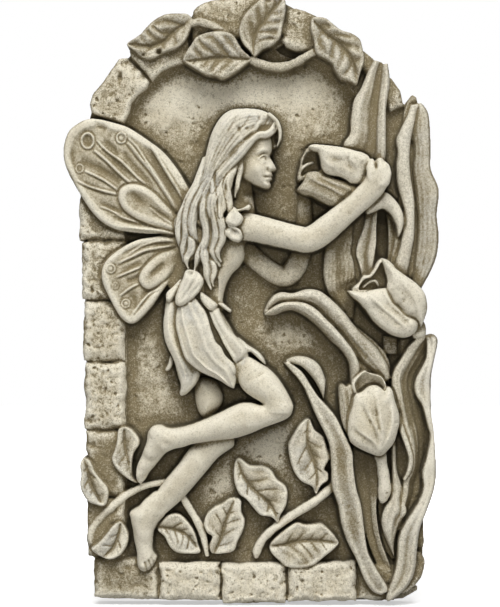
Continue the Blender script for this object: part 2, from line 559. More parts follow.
# The wings
# Two butterfly wings on the left: a thin lit rim, raised veins running out from the shoulder with
# smooth troughs between them, rings pressed near the edge, and a hollow lobe laid on each.
UPPER_WING = [(195, 200), (191, 192.5), (182, 176), (173, 163), (163, 151.5), (152, 143), (137.5, 133),
              (126, 126.5), (114.5, 123), (103, 120), (92, 118.7), (84, 120.5), (76, 125), (70, 130),
              (66, 138), (63.5, 150), (65, 164), (71, 178), (80, 194), (89, 208), (100, 220.5), (114.5, 229),
              (129, 232), (146, 233.7), (160, 234), (174, 235.6), (192, 234)]
LOWER_WING = [(182, 236), (165, 235), (152, 237), (140, 239), (129, 243.5), (117.5, 250.6), (107.5, 259),
              (103, 266.5), (101.5, 275), (103, 284), (107.5, 294), (113, 305), (120, 316.5), (127.5, 323),
              (135, 323), (143, 316.6), (152, 306.6), (159, 296.5), (165, 288), (177, 271), (187, 258),
              (190, 245)]
UPPER_LOBE = [(184, 222), (177.7, 216.2), (166, 204.7), (154.7, 193.2), (143, 186), (131.7, 184),
              (123, 186.8), (118.6, 193), (118.8, 200.4), (123, 209), (131.7, 216.2), (143, 222),
              (154.7, 226.2), (166, 229), (175, 232), (186, 233)]
LOWER_LOBE = [(182, 246), (175, 248.5), (169, 250.6), (160.4, 253.5), (151.8, 259.2), (144.7, 266.4),
              (140, 274), (139, 281), (143, 287), (149, 289.4), (156, 286.5), (167.6, 278), (175, 269),
              (186, 258)]
UPPER_TROUGHS = (([(80, 160), (93, 166), (107, 173), (122, 182)], 4.5, -1.9),
                 ([(103, 149), (114, 160), (126, 171), (137, 179)], 3.2, -1.6),
                 ([(103, 141), (110, 145.5), (120, 156)], 3.6, -1.5),
                 ([(122, 152), (134, 166), (144, 177), (155, 187)], 3.4, -1.4),
                 ([(145, 146), (155, 163), (166, 181), (175, 196), (181, 207)], 3.6, -1.9),
                 ([(160, 152), (172, 167), (182, 184), (188, 195)], 2.8, -1.4),
                 ([(95, 124), (101, 126), (107, 130)], 3.2, -1.7),
                 ([(84, 182), (96, 190), (107, 195)], 2.4, -1.1),
                 ([(100, 203), (112, 208), (123, 213)], 2.6, -1.4),
                 ([(113, 218), (129, 223), (146, 225), (160, 229)], 2.4, -1.3),
                 ([(74, 148), (72, 158), (76, 168)], 3, -0.8))
UPPER_VEINS = (([(94, 150), (107, 161), (119, 173), (132, 184)], 1.8, 1.2),
               ([(97, 140), (107, 151), (122, 162), (137, 177), (146, 184)], 1.6, 1.0),
               ([(128, 141), (140, 157), (152, 171), (163, 187), (173, 203), (179, 214)], 2.8, 1.2),
               ([(151, 146), (160, 161), (169, 176), (179, 192), (184, 203)], 1.9, 1.2),
               ([(127, 137), (137, 147), (146, 160), (153, 170)], 1.5, 0.9),
               ([(85, 171), (96, 176), (106, 181.5), (118, 190)], 1.6, 1.1),
               ([(77, 180), (88, 186), (103, 191), (118, 194.5)], 1.7, 1.0),
               ([(100, 206), (112, 211), (122, 216)], 1.5, 0.7),
               ([(112, 214), (127, 219), (142, 224)], 1.4, 0.6),
               ([(120, 227), (140, 229), (160, 231), (180, 235.5)], 1.7, 0.9))
LOWER_TROUGHS = (([(121, 255), (137, 247.5), (155, 243), (172, 243)], 2.2, -1.6),
                 ([(124, 262), (137, 256), (150, 250)], 2.0, -1.2),
                 ([(127, 281), (134, 279), (139, 276)], 2.4, -1.6),
                 ([(141, 299), (146, 292.5), (153, 289.5), (161, 286)], 2.4, -1.5),
                 ([(122, 272), (132, 266), (142, 262)], 2.4, -1.1),
                 ([(129, 292), (135, 299), (134, 310)], 4.0, -1.1))
LOWER_VEINS = (([(117, 263.5), (131, 257.5), (146, 250.5), (162, 247.5), (176, 245)], 1.7, 1.1),
               ([(117, 277), (129, 272), (141, 267)], 1.6, 1.0),
               ([(120, 296), (129, 289), (140, 283)], 1.6, 0.9),
               ([(128, 254), (142, 246), (158, 241.5), (174, 241)], 1.5, 0.8),
               ([(132, 315), (141, 303), (150, 293), (160, 288)], 1.6, 0.8))
WING_FINISH = {"sand": 0.2, "tint": 0.0, "wash": 0.27}


def beside(path, offset, swing=0.0, turns=0.0):
    """The path moved to its right as it is drawn, or swung from side to side in a number of turns."""
    line = smooth_line(path)
    run = np.gradient(line, axis=0)
    run = run / np.maximum(np.hypot(run[:, 0], run[:, 1]), 1e-6)[:, None]
    share = np.linspace(0, 1, len(line))
    shift = offset + swing * np.sin(2 * math.pi * turns * share) * share
    return line + shift[:, None] * np.stack([-run[:, 1], run[:, 0]], axis=1)


def groove(path, width, rise, fade=True):
    """A ridge, or with a negative rise a groove, drawn along a path."""
    points = smooth_line(path)
    place, x, y = window(points, 3 * width)
    distance, along, _, _ = measure(points, False, x, y)
    strength = np.sqrt(np.clip(np.sin(math.pi * along), 0, 1)) if fade else 1
    clay[place] += np.where(inward[place] > 1, rise * strength * hump(distance, width), 0)


def vein(path, width=1.8, rise=1.1):
    """A raised vein with a line cut along its lower side."""
    groove(path, 2.6 * width, 0.35 * rise)
    groove(path, 0.6 * width, 1.3 * rise)
    groove(beside(path, 1.25 * width), 0.8, -1.4 * rise)
    groove(beside(path, -1.3 * width), 0.7, -0.6 * rise)
    stroke(beside(path, 1.25 * width), 0.8, 0.45)


def pressed_ring(x, y, across, down, middle):
    """A ring pressed in the wet clay with a line round it; its middle stands up or is hollow."""
    turns = np.linspace(0, 2 * math.pi, 13)
    ring = np.stack([np.cos(turns) * across, np.sin(turns) * down], axis=1)
    mound(x, y, across * 0.62, down * 0.62, middle)
    groove(ring * 1.25 + (x, y), 0.9, -1.0, fade=False)
    groove(ring + (x, y), 1.0, 0.8, fade=False)
    groove(ring * 0.66 + (x, y), 0.9, -0.8, fade=False)


form(LOWER_WING, 31.5, drop=2.5, width=4, moat=(4, 3), **WING_FINISH)
form([(174, 242), (152, 242.5), (131, 248), (113, 259), (107, 272), (111, 289), (123, 311), (131, 317),
      (141, 310), (157, 290), (174, 264)], 30.7, drop=-1.3, width=6, moat=None, cut=True, **WING_FINISH)
for trough in LOWER_TROUGHS:
    groove(*trough)
for path, width, rise in LOWER_VEINS:
    vein(path, width, rise)
pressed_ring(111, 268.6, 4.4, 4.4, 0.6)
pressed_ring(115.6, 285.6, 3.0, 3.4, 0.4)
pressed_ring(126, 303.4, 4.2, 4.2, 0.8)
form(LOWER_LOBE, 33, drop=2.4, width=5, moat=(2.6, 2.2), **WING_FINISH)
mound(157.5, 270, 9, 3, -2.2, turn=-0.72)
stroke([(149, 278), (151, 273), (158, 266), (166, 261)], 1.0, 0.5)
mound(180, 262, 9, 12, -3)
form(UPPER_WING, 32.5, drop=2.5, width=4, moat=(4, 4), **WING_FINISH)
form([(190, 199), (178, 181), (164, 161), (148, 147), (130, 136), (104, 126), (84, 128), (73, 140),
      (70, 157), (78, 180), (92, 201), (108, 217), (132, 226), (170, 229), (190, 230)], 31.5, drop=-1.5,
     width=6, moat=None, cut=True, **WING_FINISH)
for trough in UPPER_TROUGHS:
    groove(*trough)
for path, width, rise in UPPER_VEINS:
    vein(path, width, rise)
pressed_ring(88, 141, 6.2, 7.6, -1.6)
pressed_ring(121.6, 138.4, 4.8, 5.2, 0.4)
pressed_ring(80, 168.6, 3.6, 4.4, -0.4)
form(UPPER_LOBE, 34, drop=2.6, width=5, moat=(2.6, 2.6), **WING_FINISH)
form([(178, 221), (160, 206), (146, 194), (133, 190.5), (125, 195), (127, 205), (138, 213), (156, 220),
      (176, 228)], 33.2, drop=-1.1, width=5, moat=None, cut=True, **WING_FINISH)
mound(138, 199, 10, 4, -1.7, turn=0.7)
mound(160, 214, 9, 3, -1.2, turn=0.6)
vein([(176, 226), (162, 217), (149, 207)], 1.5, 0.6)
groove([(186, 207), (178, 216), (172, 212)], 3, -1.2)
dab(176, 200, 16, 26, 0.25)
dab(172, 250, 16, 8, 0.3)
dab(74, 140, 14, 22, -0.12)

# The far arm and far leg
# The limbs on the far side of the body, bare skin in smooth stone. They are in low relief, so
# that the near ones stand clear of them.
SKIN = {"sand": 0.2, "tint": 0.1, "wash": -0.08}
FAR_SKIN = {"sand": 0.35, "tint": 0.0, "wash": 0.42}
limb([(240, 243), (252, 256), (265, 267), (277, 274.5), (287, 276), (295, 268), (301, 255), (304, 240),
      (305, 196)], [9, 10, 10, 10.5, 11, 9.5, 8.5, 8, 6.5], [24, 24.5, 25, 25, 25, 24, 23.5, 23, 23],
     moat=(3, 1), **FAR_SKIN)
mound(284, 262, 3.5, 6, -1.5)
dab(258, 251, 14, 8, 0.35)
dab(290, 272, 9, 5, -0.3)
groove([(287, 263), (285, 257), (291, 251)], 2.2, -1.5)
form([(200, 378), (214, 380), (220.5, 389), (223, 398), (221, 406), (216, 412), (206, 418), (199, 414),
      (195, 400), (195, 386)], 29, drop=9, width=15, moat=(4, 0.5), sand=0.2, tint=0.0, wash=-0.05)
dab(209, 388, 9, 5, 0.35)
strap([(200, 441), (189, 449), (180, 462), (171.5, 472.5), (164, 481.5), (158, 490), (152, 500), (143, 507),
       (136, 512)],
      [(234, 438), (234, 446), (228.5, 450.5), (218, 458), (207, 471), (198, 481.5), (189, 492),
       (178.5, 503), (166, 514), (160, 522), (155, 530)], [33, 34, 34, 33, 32, 31, 30.5], moat=(4, 3),
      **SKIN)
form([(131, 511), (130.3, 519), (132.5, 530), (134, 541), (136.5, 553), (137, 562), (138.5, 568.5),
      (143.5, 572), (148, 570.8), (151.5, 568), (154.8, 562.8), (156.8, 557.5), (155, 554), (152.6, 549),
      (152.8, 540), (154, 531), (158, 522), (165, 514), (152, 502)], 31.5, drop=6, width=11, moat=(3, 3),
     join=3, **SKIN)
limb([(158, 500), (148, 511), (143, 522), (144, 534)], [9, 10, 10, 8], [31.2, 31.8, 31.8, 31.4], moat=None,
     join=3, **SKIN)
mound(140, 516, 5, 5, 0.8)
mound(162, 519, 6, 4, -0.8)
for path in ([(145, 562), (146, 566), (147, 571)], [(148.6, 560), (150, 564), (151.6, 568.5)],
             [(151.4, 557.5), (153, 561), (155, 565)], [(153.4, 554.5), (155, 557.5), (157, 560)]):
    groove(path, 1.0, -2.6, fade=False)
for x, y, size in ((142, 567, 3.4), (148.3, 566.5, 1.8), (151.6, 563.8, 1.7), (154.2, 560.3, 1.6)):
    mound(x, y, size, size, 1.0)
dab(146, 505, 8, 6, 0.08)

# The dress
# A skirt of long pointed petals, crisp at their edges, with thin ridges and soft pleats running
# down to their tips.
CLOTH = {"sand": 0.2, "tint": 0.8, "wash": -0.3}
form([(166, 300), (205, 292), (222, 312), (240, 345), (247, 364), (238, 384), (205, 372), (190, 386),
      (181, 385), (172, 350)], 33, drop=4, width=5, sand=0.2, wash=0.55)
form([(170, 356), (173, 362), (171, 368), (168, 371), (165, 370), (168, 364)], 30, drop=1.5, width=3,
     moat=(2, 1), **CLOTH)
strap([(168, 301), (164, 316), (163.4, 327), (164.7, 339), (168, 348), (173, 358.5), (177, 369), (180, 379),
       (180.6, 388), (179.3, 393), (181, 396)],
      [(182, 301), (180, 320), (182, 338), (187, 352), (194, 362), (200, 372), (197.5, 381.5), (192, 389),
       (186, 394.5), (182, 396)], [34, 35.5, 36.5, 36.5, 36, 34.5, 32], [-1, 0.5, 1, 0, -1.5], rim=(3, 2),
      pleats=(2.6, 0.8), comb=(11, 0.35), moat=(3, 2), sand=0.15, tint=0.9, wash=0.18)
form([(238, 337), (247, 344), (252.5, 347.5), (259, 352), (264, 358.5), (266, 364.5), (262, 362),
      (256.5, 357), (251, 352), (246, 352), (240, 346)], 37.5, drop=2.5, width=4, moat=(3, 2), **CLOTH)
strap([(206, 306), (210, 314), (214, 325), (219, 334), (224, 344.5), (231.7, 357), (235.5, 363.6),
       (240, 366)],
      [(219, 308), (221.5, 315), (226.6, 325), (233, 333), (239.3, 339.3), (245.5, 347), (248.3, 355),
       (246.5, 362), (243, 366)], [36, 38, 38.5, 39, 39, 37.5], [0.5, 0, 0.6, 0.5, -0.5], rim=(3, 2),
      pleats=(1.6, 0.6), comb=(9, 0.3), moat=(2, 1.5), **CLOTH)
strap([(178, 306), (176.2, 316), (176.2, 327), (178.7, 337), (181.3, 347), (185.7, 358.5), (192, 365),
       (200, 371), (205, 373.8), (214, 377.6), (221.5, 381.4), (228, 386), (233.6, 388.5)],
      [(195, 297), (201, 305), (205.5, 311), (208.7, 319), (210.6, 326.6), (213.2, 334), (216.3, 342),
       (221.5, 347), (225.3, 354.6), (231.7, 361), (235, 365), (237, 374), (236, 381.4), (234.5, 388)],
      [38, 39.5, 40.5, 41, 41, 40.5, 39, 37], [-1.2, 0.8, 1.8, 1.8, 1.0, 0], rim=(2.5, 1.8),
      pleats=(3.3, 1.1), comb=(14, 0.35), moat=(2.5, 2), **CLOTH)
mound(206, 332, 7, 18, 0.8, turn=-0.35)
dab(222, 362, 12, 8, 0.08)

# The near leg
# A bare bent leg, smoothed with a wet brush. It stands out furthest at the knee and turns back
# to the pointed toes.
strap([(233, 366), (238, 379), (240, 385), (245, 391.6), (252, 396.7), (260, 401.5), (266, 407), (270, 412)],
      [(249, 356), (258.5, 361.5), (269, 368.5), (278, 377.6), (285.5, 389), (291.6, 400.6), (293.3, 407),
       (291, 414)], [38, 40.5, 42, 43, 42.5], moat=(4, 2), **SKIN)
dab(244, 371, 8, 8, 0.45)
dab(265, 388, 18, 14, -0.12)
strap([(272, 399), (262, 404.5), (252, 402.3), (242, 402.5), (233, 405.7), (221.5, 411.4), (207.4, 417.8),
       (194.7, 423), (182, 426.7), (170, 428), (161, 424.8), (154, 426.5), (148, 432)],
      [(293, 405), (291.6, 413.3), (286.5, 418.4), (277.6, 422.3), (265, 426.7), (252, 432.5), (237, 437.6),
       (221.5, 439.5), (206, 441.4), (192, 444), (183, 447), (174, 449), (165, 453)],
      [42.5, 42.5, 41.5, 40.5, 39.5, 38, 36.5, 35], moat=None, join=5, **SKIN)
limb([(268, 389), (278, 400), (279, 408)], [11, 12, 11], [42.5, 43, 42.6], moat=None, join=4, **SKIN)
groove([(246, 399), (256, 402.5), (265, 404)], 2.4, -2.2)
groove([(258, 396), (266, 401)], 2.0, -0.7)
mound(244, 425, 22, 7, 0.6)
strap([(153, 427), (148, 432), (146.4, 442), (141, 456.4), (136.6, 467), (136, 478), (139.3, 484)],
      [(178, 441), (171, 449.5), (164.3, 454.6), (155.4, 465.4), (149, 473), (145, 480), (140.5, 484)],
      [35.5, 35.5, 34, 32.5, 31, 29.5], moat=None, join=4, **SKIN)
limb([(157, 433), (158, 441), (152, 451)], [8, 9, 8], [35.6, 35.6, 34.5], moat=None, join=4, **SKIN)
mound(159, 431, 4, 4, 0.7)
dab(222, 428, 46, 12, -0.2)
mound(166, 443, 7, 3, -0.7, turn=0.3)
for path in ([(140.5, 474), (140, 482)], [(143.5, 474), (143, 480.5)], [(146, 472.5), (145.5, 478)]):
    groove(path, 0.9, -1.3)

# The body and the face
# Torso, neck and a head in profile. The face is a calm one on the sculptor's usual thirds:
# hairline to brow, brow to the base of the nose, and from there to the chin.
TORSO = [(214, 205), (236, 198), (252, 208), (253, 232), (245, 244), (244.5, 257), (239.5, 266.6),
         (233, 273), (228, 281), (225, 289), (223, 299), (223, 310), (212, 312), (196, 306), (190, 285),
         (200, 250)]
form([(217, 204), (226, 201), (231, 208), (230, 222), (222, 228), (215, 218)], 33, drop=1.5, width=4,
     moat=None, sand=0.3, wash=0.5)
form([(269, 126), (277, 124), (279, 138), (276, 147), (270, 147)], 30, drop=2, width=3, moat=None, sand=0.3,
     wash=0.6)
form([(170, 262), (196, 255), (208, 255), (208, 278), (180, 292), (167, 284)], 30, drop=2, width=4,
     moat=None, sand=0.3, wash=0.6)
form(TORSO, 34, drop=8, width=17, moat=(5, 1), sand=0.3, tint=0.0, wash=0.02)
mound(236, 250, 9, 12, 1.2)
dab(212, 290, 9, 14, 0.25)
form([(206, 280), (217, 274), (217.5, 303), (206, 303)], 31, drop=1, width=4, moat=None, cut=True, sand=0.3,
     wash=0.35)
for petal, top in (([(181, 279), (173, 287), (167, 292), (166, 298), (168, 302), (172, 300.5), (176, 294),
                     (181, 285)], 37.5),
                   ([(201, 292), (200.4, 298.5), (205, 306), (210, 310.3), (214.5, 309.3), (217.8, 305),
                     (212.5, 300), (206, 295)], 40),
                   ([(218.5, 303.5), (224, 308.7), (229.7, 312.5), (231.7, 310.6), (228.5, 307.4),
                     (222.7, 303)], 38.5),
                   ([(187, 270), (198, 272), (204, 280.6), (201.7, 288.3), (198.5, 293.4), (192, 299.8),
                     (184.4, 305), (179.3, 306), (176, 303.6), (175.5, 298.5), (177.4, 292), (180, 285.7),
                     (183, 279)], 42)):
    form(petal, top, drop=3, width=6, moat=(2.5, 2.5), **CLOTH)
for path, width, depth in (
        ([(197, 276), (191, 287), (183, 299)], 1.5, -1.5), ([(201, 282), (196, 290), (188, 299)], 1.3, -1.1),
        ([(190, 276), (185, 287), (180, 298)], 1.3, -1.1), ([(178, 284), (172, 292), (169, 298)], 1.4, -1.2),
        ([(204, 297), (209, 303), (213, 308)], 1.3, -0.9), ([(186, 290), (184, 296), (180, 302)], 1.0, -0.9),
        ([(198, 285), (193, 291), (187, 296)], 1.0, -0.8)):
    groove(path, width, depth)
mound(191.5, 273.5, 3.2, 2.6, -4)
mound(197, 274.5, 2, 2.5, -3)
limb([(238, 172), (241, 190), (243, 212)], [11, 11, 12], [33, 30, 30], moat=(3, 1.5), sand=0.15, tint=0.0,
     wash=0.4)

HAIRLINE = 137
FACE = 52
FRONT = 271


def face_spot(forward, down):
    """A place on the face, in face heights forward of the brow and down from the hairline."""
    return (FRONT + FACE * forward, HAIRLINE + FACE * down)


def face_line(spots, width, rise):
    """A ridge or groove drawn on the face."""
    groove([face_spot(*spot) for spot in spots], width, rise)


def face_mound(forward, down, across, tall, rise, turn=0.0):
    """A soft hill or hollow on the face."""
    mound(*face_spot(forward, down), FACE * across, FACE * tall, rise, turn)


PROFILE = [(-0.45, -0.10), (-0.08, -0.10), (-0.01, 0.02), (0.015, 0.17), (0.01, 0.29), (-0.025, 0.375),
           (0.03, 0.48), (0.095, 0.595), (0.10, 0.63), (0.05, 0.665), (0.008, 0.68), (0.022, 0.715),
           (0.035, 0.745), (0.006, 0.772), (0.024, 0.80), (0.010, 0.835), (-0.026, 0.865), (-0.005, 0.92),
           (-0.02, 0.97), (-0.09, 1.0), (-0.25, 0.955), (-0.42, 0.87), (-0.56, 0.76), (-0.62, 0.5),
           (-0.6, 0.1)]
form([face_spot(*spot) for spot in PROFILE], 40.5, drop=7, width=13, moat=(4, 3), sand=0.1, tint=0.0,
     wash=0.06)
dab(256, 195, 12, 5, 0.5)
mound(250, 192, 8, 4, -4)
face_mound(-0.10, 0.12, 0.16, 0.14, 0.8)
face_mound(-0.26, 0.62, 0.13, 0.14, 1.8)
face_mound(-0.13, 0.43, 0.11, 0.08, -3.2)
face_mound(-0.01, 0.40, 0.05, 0.06, -1.4)
face_line([(-0.26, 0.34), (-0.17, 0.275), (-0.08, 0.28), (0.0, 0.33)], 2.2, 1.4)
face_mound(-0.135, 0.447, 0.082, 0.056, 3.8)
face_line([(-0.26, 0.465), (-0.19, 0.385), (-0.10, 0.37), (-0.035, 0.43)], 1.0, 2.2)
face_line([(-0.225, 0.475), (-0.16, 0.51), (-0.09, 0.50), (-0.05, 0.465)], 1.0, 0.6)
face_line([(-0.245, 0.42), (-0.17, 0.345), (-0.09, 0.335), (-0.03, 0.375)], 1.0, -1.5)
face_mound(-0.105, 0.445, 0.020, 0.026, -1.5)
face_line([(-0.01, 0.40), (0.03, 0.50), (0.06, 0.58)], 2.2, 0.9)
face_mound(-0.01, 0.63, 0.042, 0.034, 1.5)
face_line([(-0.065, 0.595), (-0.062, 0.65), (-0.015, 0.672)], 1.1, -1.7)
face_mound(0.035, 0.664, 0.030, 0.013, -2.2)
face_line([(-0.10, 0.76), (-0.04, 0.738), (0.02, 0.737)], 1.6, 1.5)
face_line([(-0.09, 0.81), (-0.04, 0.828), (0.012, 0.822)], 1.8, 1.5)
face_line([(-0.125, 0.777), (-0.06, 0.779), (0.03, 0.773)], 1.0, -2.6)
face_mound(-0.135, 0.777, 0.024, 0.024, -1.4)
face_mound(-0.05, 0.878, 0.06, 0.02, -1.1)
face_mound(-0.07, 0.94, 0.08, 0.05, 1.3)
stroke([face_spot(*spot) for spot in ((-0.25, 0.475), (-0.18, 0.41), (-0.10, 0.395), (-0.04, 0.45))], 0.8,
       0.85)
stroke([face_spot(*spot) for spot in ((-0.23, 0.48), (-0.16, 0.52), (-0.09, 0.51), (-0.04, 0.465))], 0.8,
       0.5)
stroke([face_spot(*spot) for spot in ((-0.13, 0.777), (-0.06, 0.779), (0.03, 0.773))], 0.9, 0.7)
stroke([face_spot(*spot) for spot in ((-0.26, 0.35), (-0.17, 0.285), (-0.06, 0.30))], 1.2, -0.15)
stroke([face_spot(*spot) for spot in ((-0.55, 0.80), (-0.35, 0.93), (-0.15, 1.0), (-0.03, 0.985))], 1.8, 0.7)
dab(*face_spot(-0.11, 0.445), 1.0, 1.2, 0.7)
dab(*face_spot(0.0, 0.45), 3, 6, 0.25)
dab(*face_spot(-0.13, 0.43), 5.5, 4, 0.1)
dab(*face_spot(-0.48, 0.66), 4, 9, 0.3)
dab(*face_spot(-0.26, 0.60), 6, 6, -0.08)

# The hair
# Long hair brushed back from the brow: a cap combed back over the head, then separate locks
# modelled one over another in waves, falling past the shoulder to the waist.
HAIR = {"sand": 0.15, "tint": 0.9, "wash": 0.14}
HAIR_MASS = [(205, 160), (196, 185), (185, 203), (179, 224), (180, 244), (183, 256), (189, 262), (196, 258),
             (204, 258), (208, 272), (213, 276), (216, 260), (221, 248), (224, 230), (229, 212), (233, 196),
             (237, 184), (240, 165), (236, 150), (220, 145)]
CAP_OUTER = [(276, 121), (268, 113.5), (257, 110), (244, 109.3), (231, 111), (221, 118), (212.5, 132),
             (207.5, 148), (204, 165), (201, 178), (195, 188), (188, 200), (182, 212)]
CAP_INNER = [(276, 127), (272, 134), (264, 138), (257, 138), (251, 144), (246, 150), (240, 157), (233, 165),
             (226, 174), (220, 186), (213, 200), (207, 214), (202, 228)]
LOCKS = (([(204, 168), (194, 190), (185, 205), (178.5, 222), (177.5, 240)], [2, 3, 3.2, 3, 1],
          [40, 38, 37, 36, 34.5], 1),
         ([(205, 160), (198, 184), (189, 200), (182, 216), (180, 232), (180.5, 251)],
          [3, 4.5, 5, 4.5, 3.8, 1.2], [40, 39.5, 38.5, 37, 36, 34], 2),
         ([(207, 172), (196, 192), (189, 207), (186, 222), (187, 236), (184, 250), (183, 262)],
          [3, 4.5, 4.5, 4.4, 4.2, 3.2, 1], [41.5, 40.5, 39.5, 38.5, 38, 36, 34], 2),
         ([(190, 228), (192, 240), (191, 250), (188, 258), (187.5, 268)], [2, 3.8, 4.2, 3, 1],
          [37, 38.5, 38, 36.5, 34.5], 1),
         ([(212, 176), (203, 193), (195, 209), (192.5, 222), (194.5, 232), (199, 243)],
          [3, 4.6, 5, 4.8, 4.2, 1.2], [42, 42, 41, 40, 39, 36.5], 2),
         ([(200, 236), (203, 248), (199, 260), (196.5, 272)], [2, 3.2, 2.8, 0.8], [38, 38.5, 37, 34.5], 1),
         ([(213, 180), (207, 198), (204, 214), (207, 230), (206, 243), (200, 255), (194, 270)],
          [3, 4.6, 5, 5, 4.6, 3.6, 1], [43.5, 43, 42.5, 41, 40, 38.5, 35.5], 2),
         ([(208, 238), (205, 256), (208, 271), (210.5, 289)], [3, 4.6, 4.2, 1.2], [38.5, 39.5, 39, 36], 2),
         ([(212, 252), (214, 266), (214, 276), (213, 286)], [2, 3, 2.6, 0.9], [38, 38.5, 38, 36], 1),
         ([(229, 172), (219, 190), (214, 207), (217, 224), (218.5, 238), (215.5, 251), (219, 266)],
          [4, 6.4, 7.6, 7, 6.4, 5.2, 1.4], [43.5, 44, 44, 43, 41.5, 39.5, 36.5], 3),
         ([(222, 196), (219.5, 210), (222, 226), (222.5, 240), (219, 252), (220.5, 262)],
          [2, 3.4, 3.6, 3.4, 2.8, 1], [43.5, 44.6, 43.8, 42.4, 40.5, 38], 2),
         ([(238, 160), (229, 177), (223, 192), (225, 203), (220, 216)], [3, 5.4, 7, 6, 2.6],
          [42.5, 43.5, 43.8, 43, 42], 3),
         ([(233, 172), (227, 184), (228, 196), (231, 206), (228, 216)], [2, 3, 3.4, 3, 1],
          [43, 44.2, 44, 42.8, 41], 1),
         ([(241.5, 157), (241, 170), (237.5, 182), (237.5, 190), (234.5, 197)], [1.6, 2.6, 2.6, 2.4, 1],
          [41.5, 41, 40.5, 40, 38.5], 1))
form(HAIR_MASS, 35.5, drop=3, width=6, moat=(3, 2), sand=0.15, tint=0.5, wash=0.6)
strap(CAP_OUTER, CAP_INNER, [38, 42, 44, 44.5, 44, 43, 42, 40.5, 38], [-3.5, -0.8, 0.6, 0.8, 0], rim=(3, 2),
      comb=(10, 0.8), moat=(3, 3), **HAIR)
outer, inner = smooth_line(CAP_OUTER), smooth_line(CAP_INNER)
for share in (0.1, 0.2, 0.32, 0.43, 0.55, 0.66, 0.78, 0.88):
    stroke((outer * (1 - share) + inner * share)[4:-6], 0.8, 0.26)
for path, radii, tops, strands in LOCKS:
    lock = beside(path, 0, 1.3, 1.6)
    limb(lock, radii, tops, moat=(2.2, 3.2), flat=0.8, comb=(strands + 1.3, 1.1), rooted=0.3, **HAIR)
    stroke(beside(lock, 0.35 * max(radii)), 0.8, 0.3)
    stroke(beside(lock, -0.45 * max(radii)), 0.7, 0.25)
limb([(276, 122), (273, 131), (266, 136), (259, 136.5), (252, 141.5), (246, 148), (240, 155), (232, 163),
      (224, 171), (217, 180), (212, 192)], [2, 3.4, 3.6, 3.2, 4, 4.4, 4.6, 4.6, 4.4, 4, 2],
     [41, 43, 44, 44, 44.3, 44.3, 44, 43.8, 43.5, 43, 42], moat=(2, 1.8), flat=0.8, comb=(2.4, 1.2), **HAIR)
limb([(269, 115.5), (276, 122), (279.6, 130.5), (279.8, 139), (277.4, 146)], [1.9, 2.1, 2.0, 1.7, 0.8],
     [42, 41.5, 41, 40, 38.5], moat=(1.5, 2), **HAIR)
groove([(274, 121), (275.8, 131), (276.3, 146)], 1.3, -5)
for path, width, depth in (([(269, 117), (266, 124), (262, 130)], 1.1, -1.4),
                           ([(271, 122), (268, 127), (264, 132)], 1.4, -1.6),
                           ([(262, 113), (258, 122), (250, 131)], 1.0, -0.9),
                           ([(252, 112), (246, 124), (236, 136)], 1.0, -0.8),
                           ([(240, 113), (232, 126), (224, 144)], 1.0, -0.8),
                           ([(258, 133), (244, 141), (228, 158)], 1.2, -1.5)):
    groove(path, width, depth)
for x, y, across, down, rise in ((226, 190, 1.4, 6, -3.0), (215, 180, 1.4, 7, -3.0),
                                 (234, 187, 1.5, 9, -3.4), (239, 131, 1.8, 2.4, -1.6),
                                 (247, 130, 2.2, 1.6, -1.2), (258.5, 119, 1.2, 1.2, -1.0),
                                 (211, 226, 1.2, 8, -3.0), (199, 214, 1.2, 8, -2.4)):
    mound(x, y, across, down, rise)
dab(212, 150, 8, 22, 0.12)
dab(240, 119, 16, 6, -0.06)
dab(186, 236, 8, 22, 0.12)
dab(226, 205, 7, 16, -0.08)

# The tulips
# Three open tulips, each with a hollow mouth between its back petals and its front ones. The
# fairy holds the first by its base; the others stand on the plant.
PETAL = {"sand": 0.4, "tint": 0.3, "wash": -0.12}
SHADED_PETAL = {"sand": 0.2, "tint": 0.3, "wash": 0.8}
tube = tree_for("plant_stem", ("Geometry", 'Geometry'), ("Knots", 'Float'), ("Seed", 'Float'),
                ("Material", 'Material'))
stem_inputs = tube.nodes.new('NodeGroupInput').outputs
stem_line = add(tube, 'GeometryNodeMeshToCurve', {"Mesh": stem_inputs["Geometry"]})
even_line = add(tube, 'GeometryNodeResampleCurve', {"Curve": stem_line, "Length": 0.0002}, mode='LENGTH')
thick = add(tube, 'GeometryNodeInputNamedAttribute', {"Name": "thick"}, data_type='FLOAT')
swollen = add(tube, 'ShaderNodeTexNoise', {"W": stem_inputs["Seed"], "Scale": 160.0, "Detail": 2.0},
              noise_dimensions='4D')
knotted = sum_of(tube, 'MULTIPLY', sum_of(tube, 'SUBTRACT', swollen, 0.5), stem_inputs["Knots"])
girth = sum_of(tube, 'MULTIPLY', thick, sum_of(tube, 'ADD', knotted, 1.0))
ring = add(tube, 'GeometryNodeCurvePrimitiveCircle', {"Resolution": 72, "Radius": 1.0})
skin = add(tube, 'GeometryNodeCurveToMesh',
           {"Curve": even_line, "Profile Curve": ring, "Scale": girth, "Fill Caps": True})
whole = add(tube, 'GeometryNodeRealizeInstances', {"Geometry": skin})
finished_stem = add(tube, 'GeometryNodeSetMaterial',
                    {"Geometry": whole, "Material": stem_inputs["Material"]})
tube.links.new(finished_stem, tube.nodes.new('NodeGroupOutput').inputs[0])


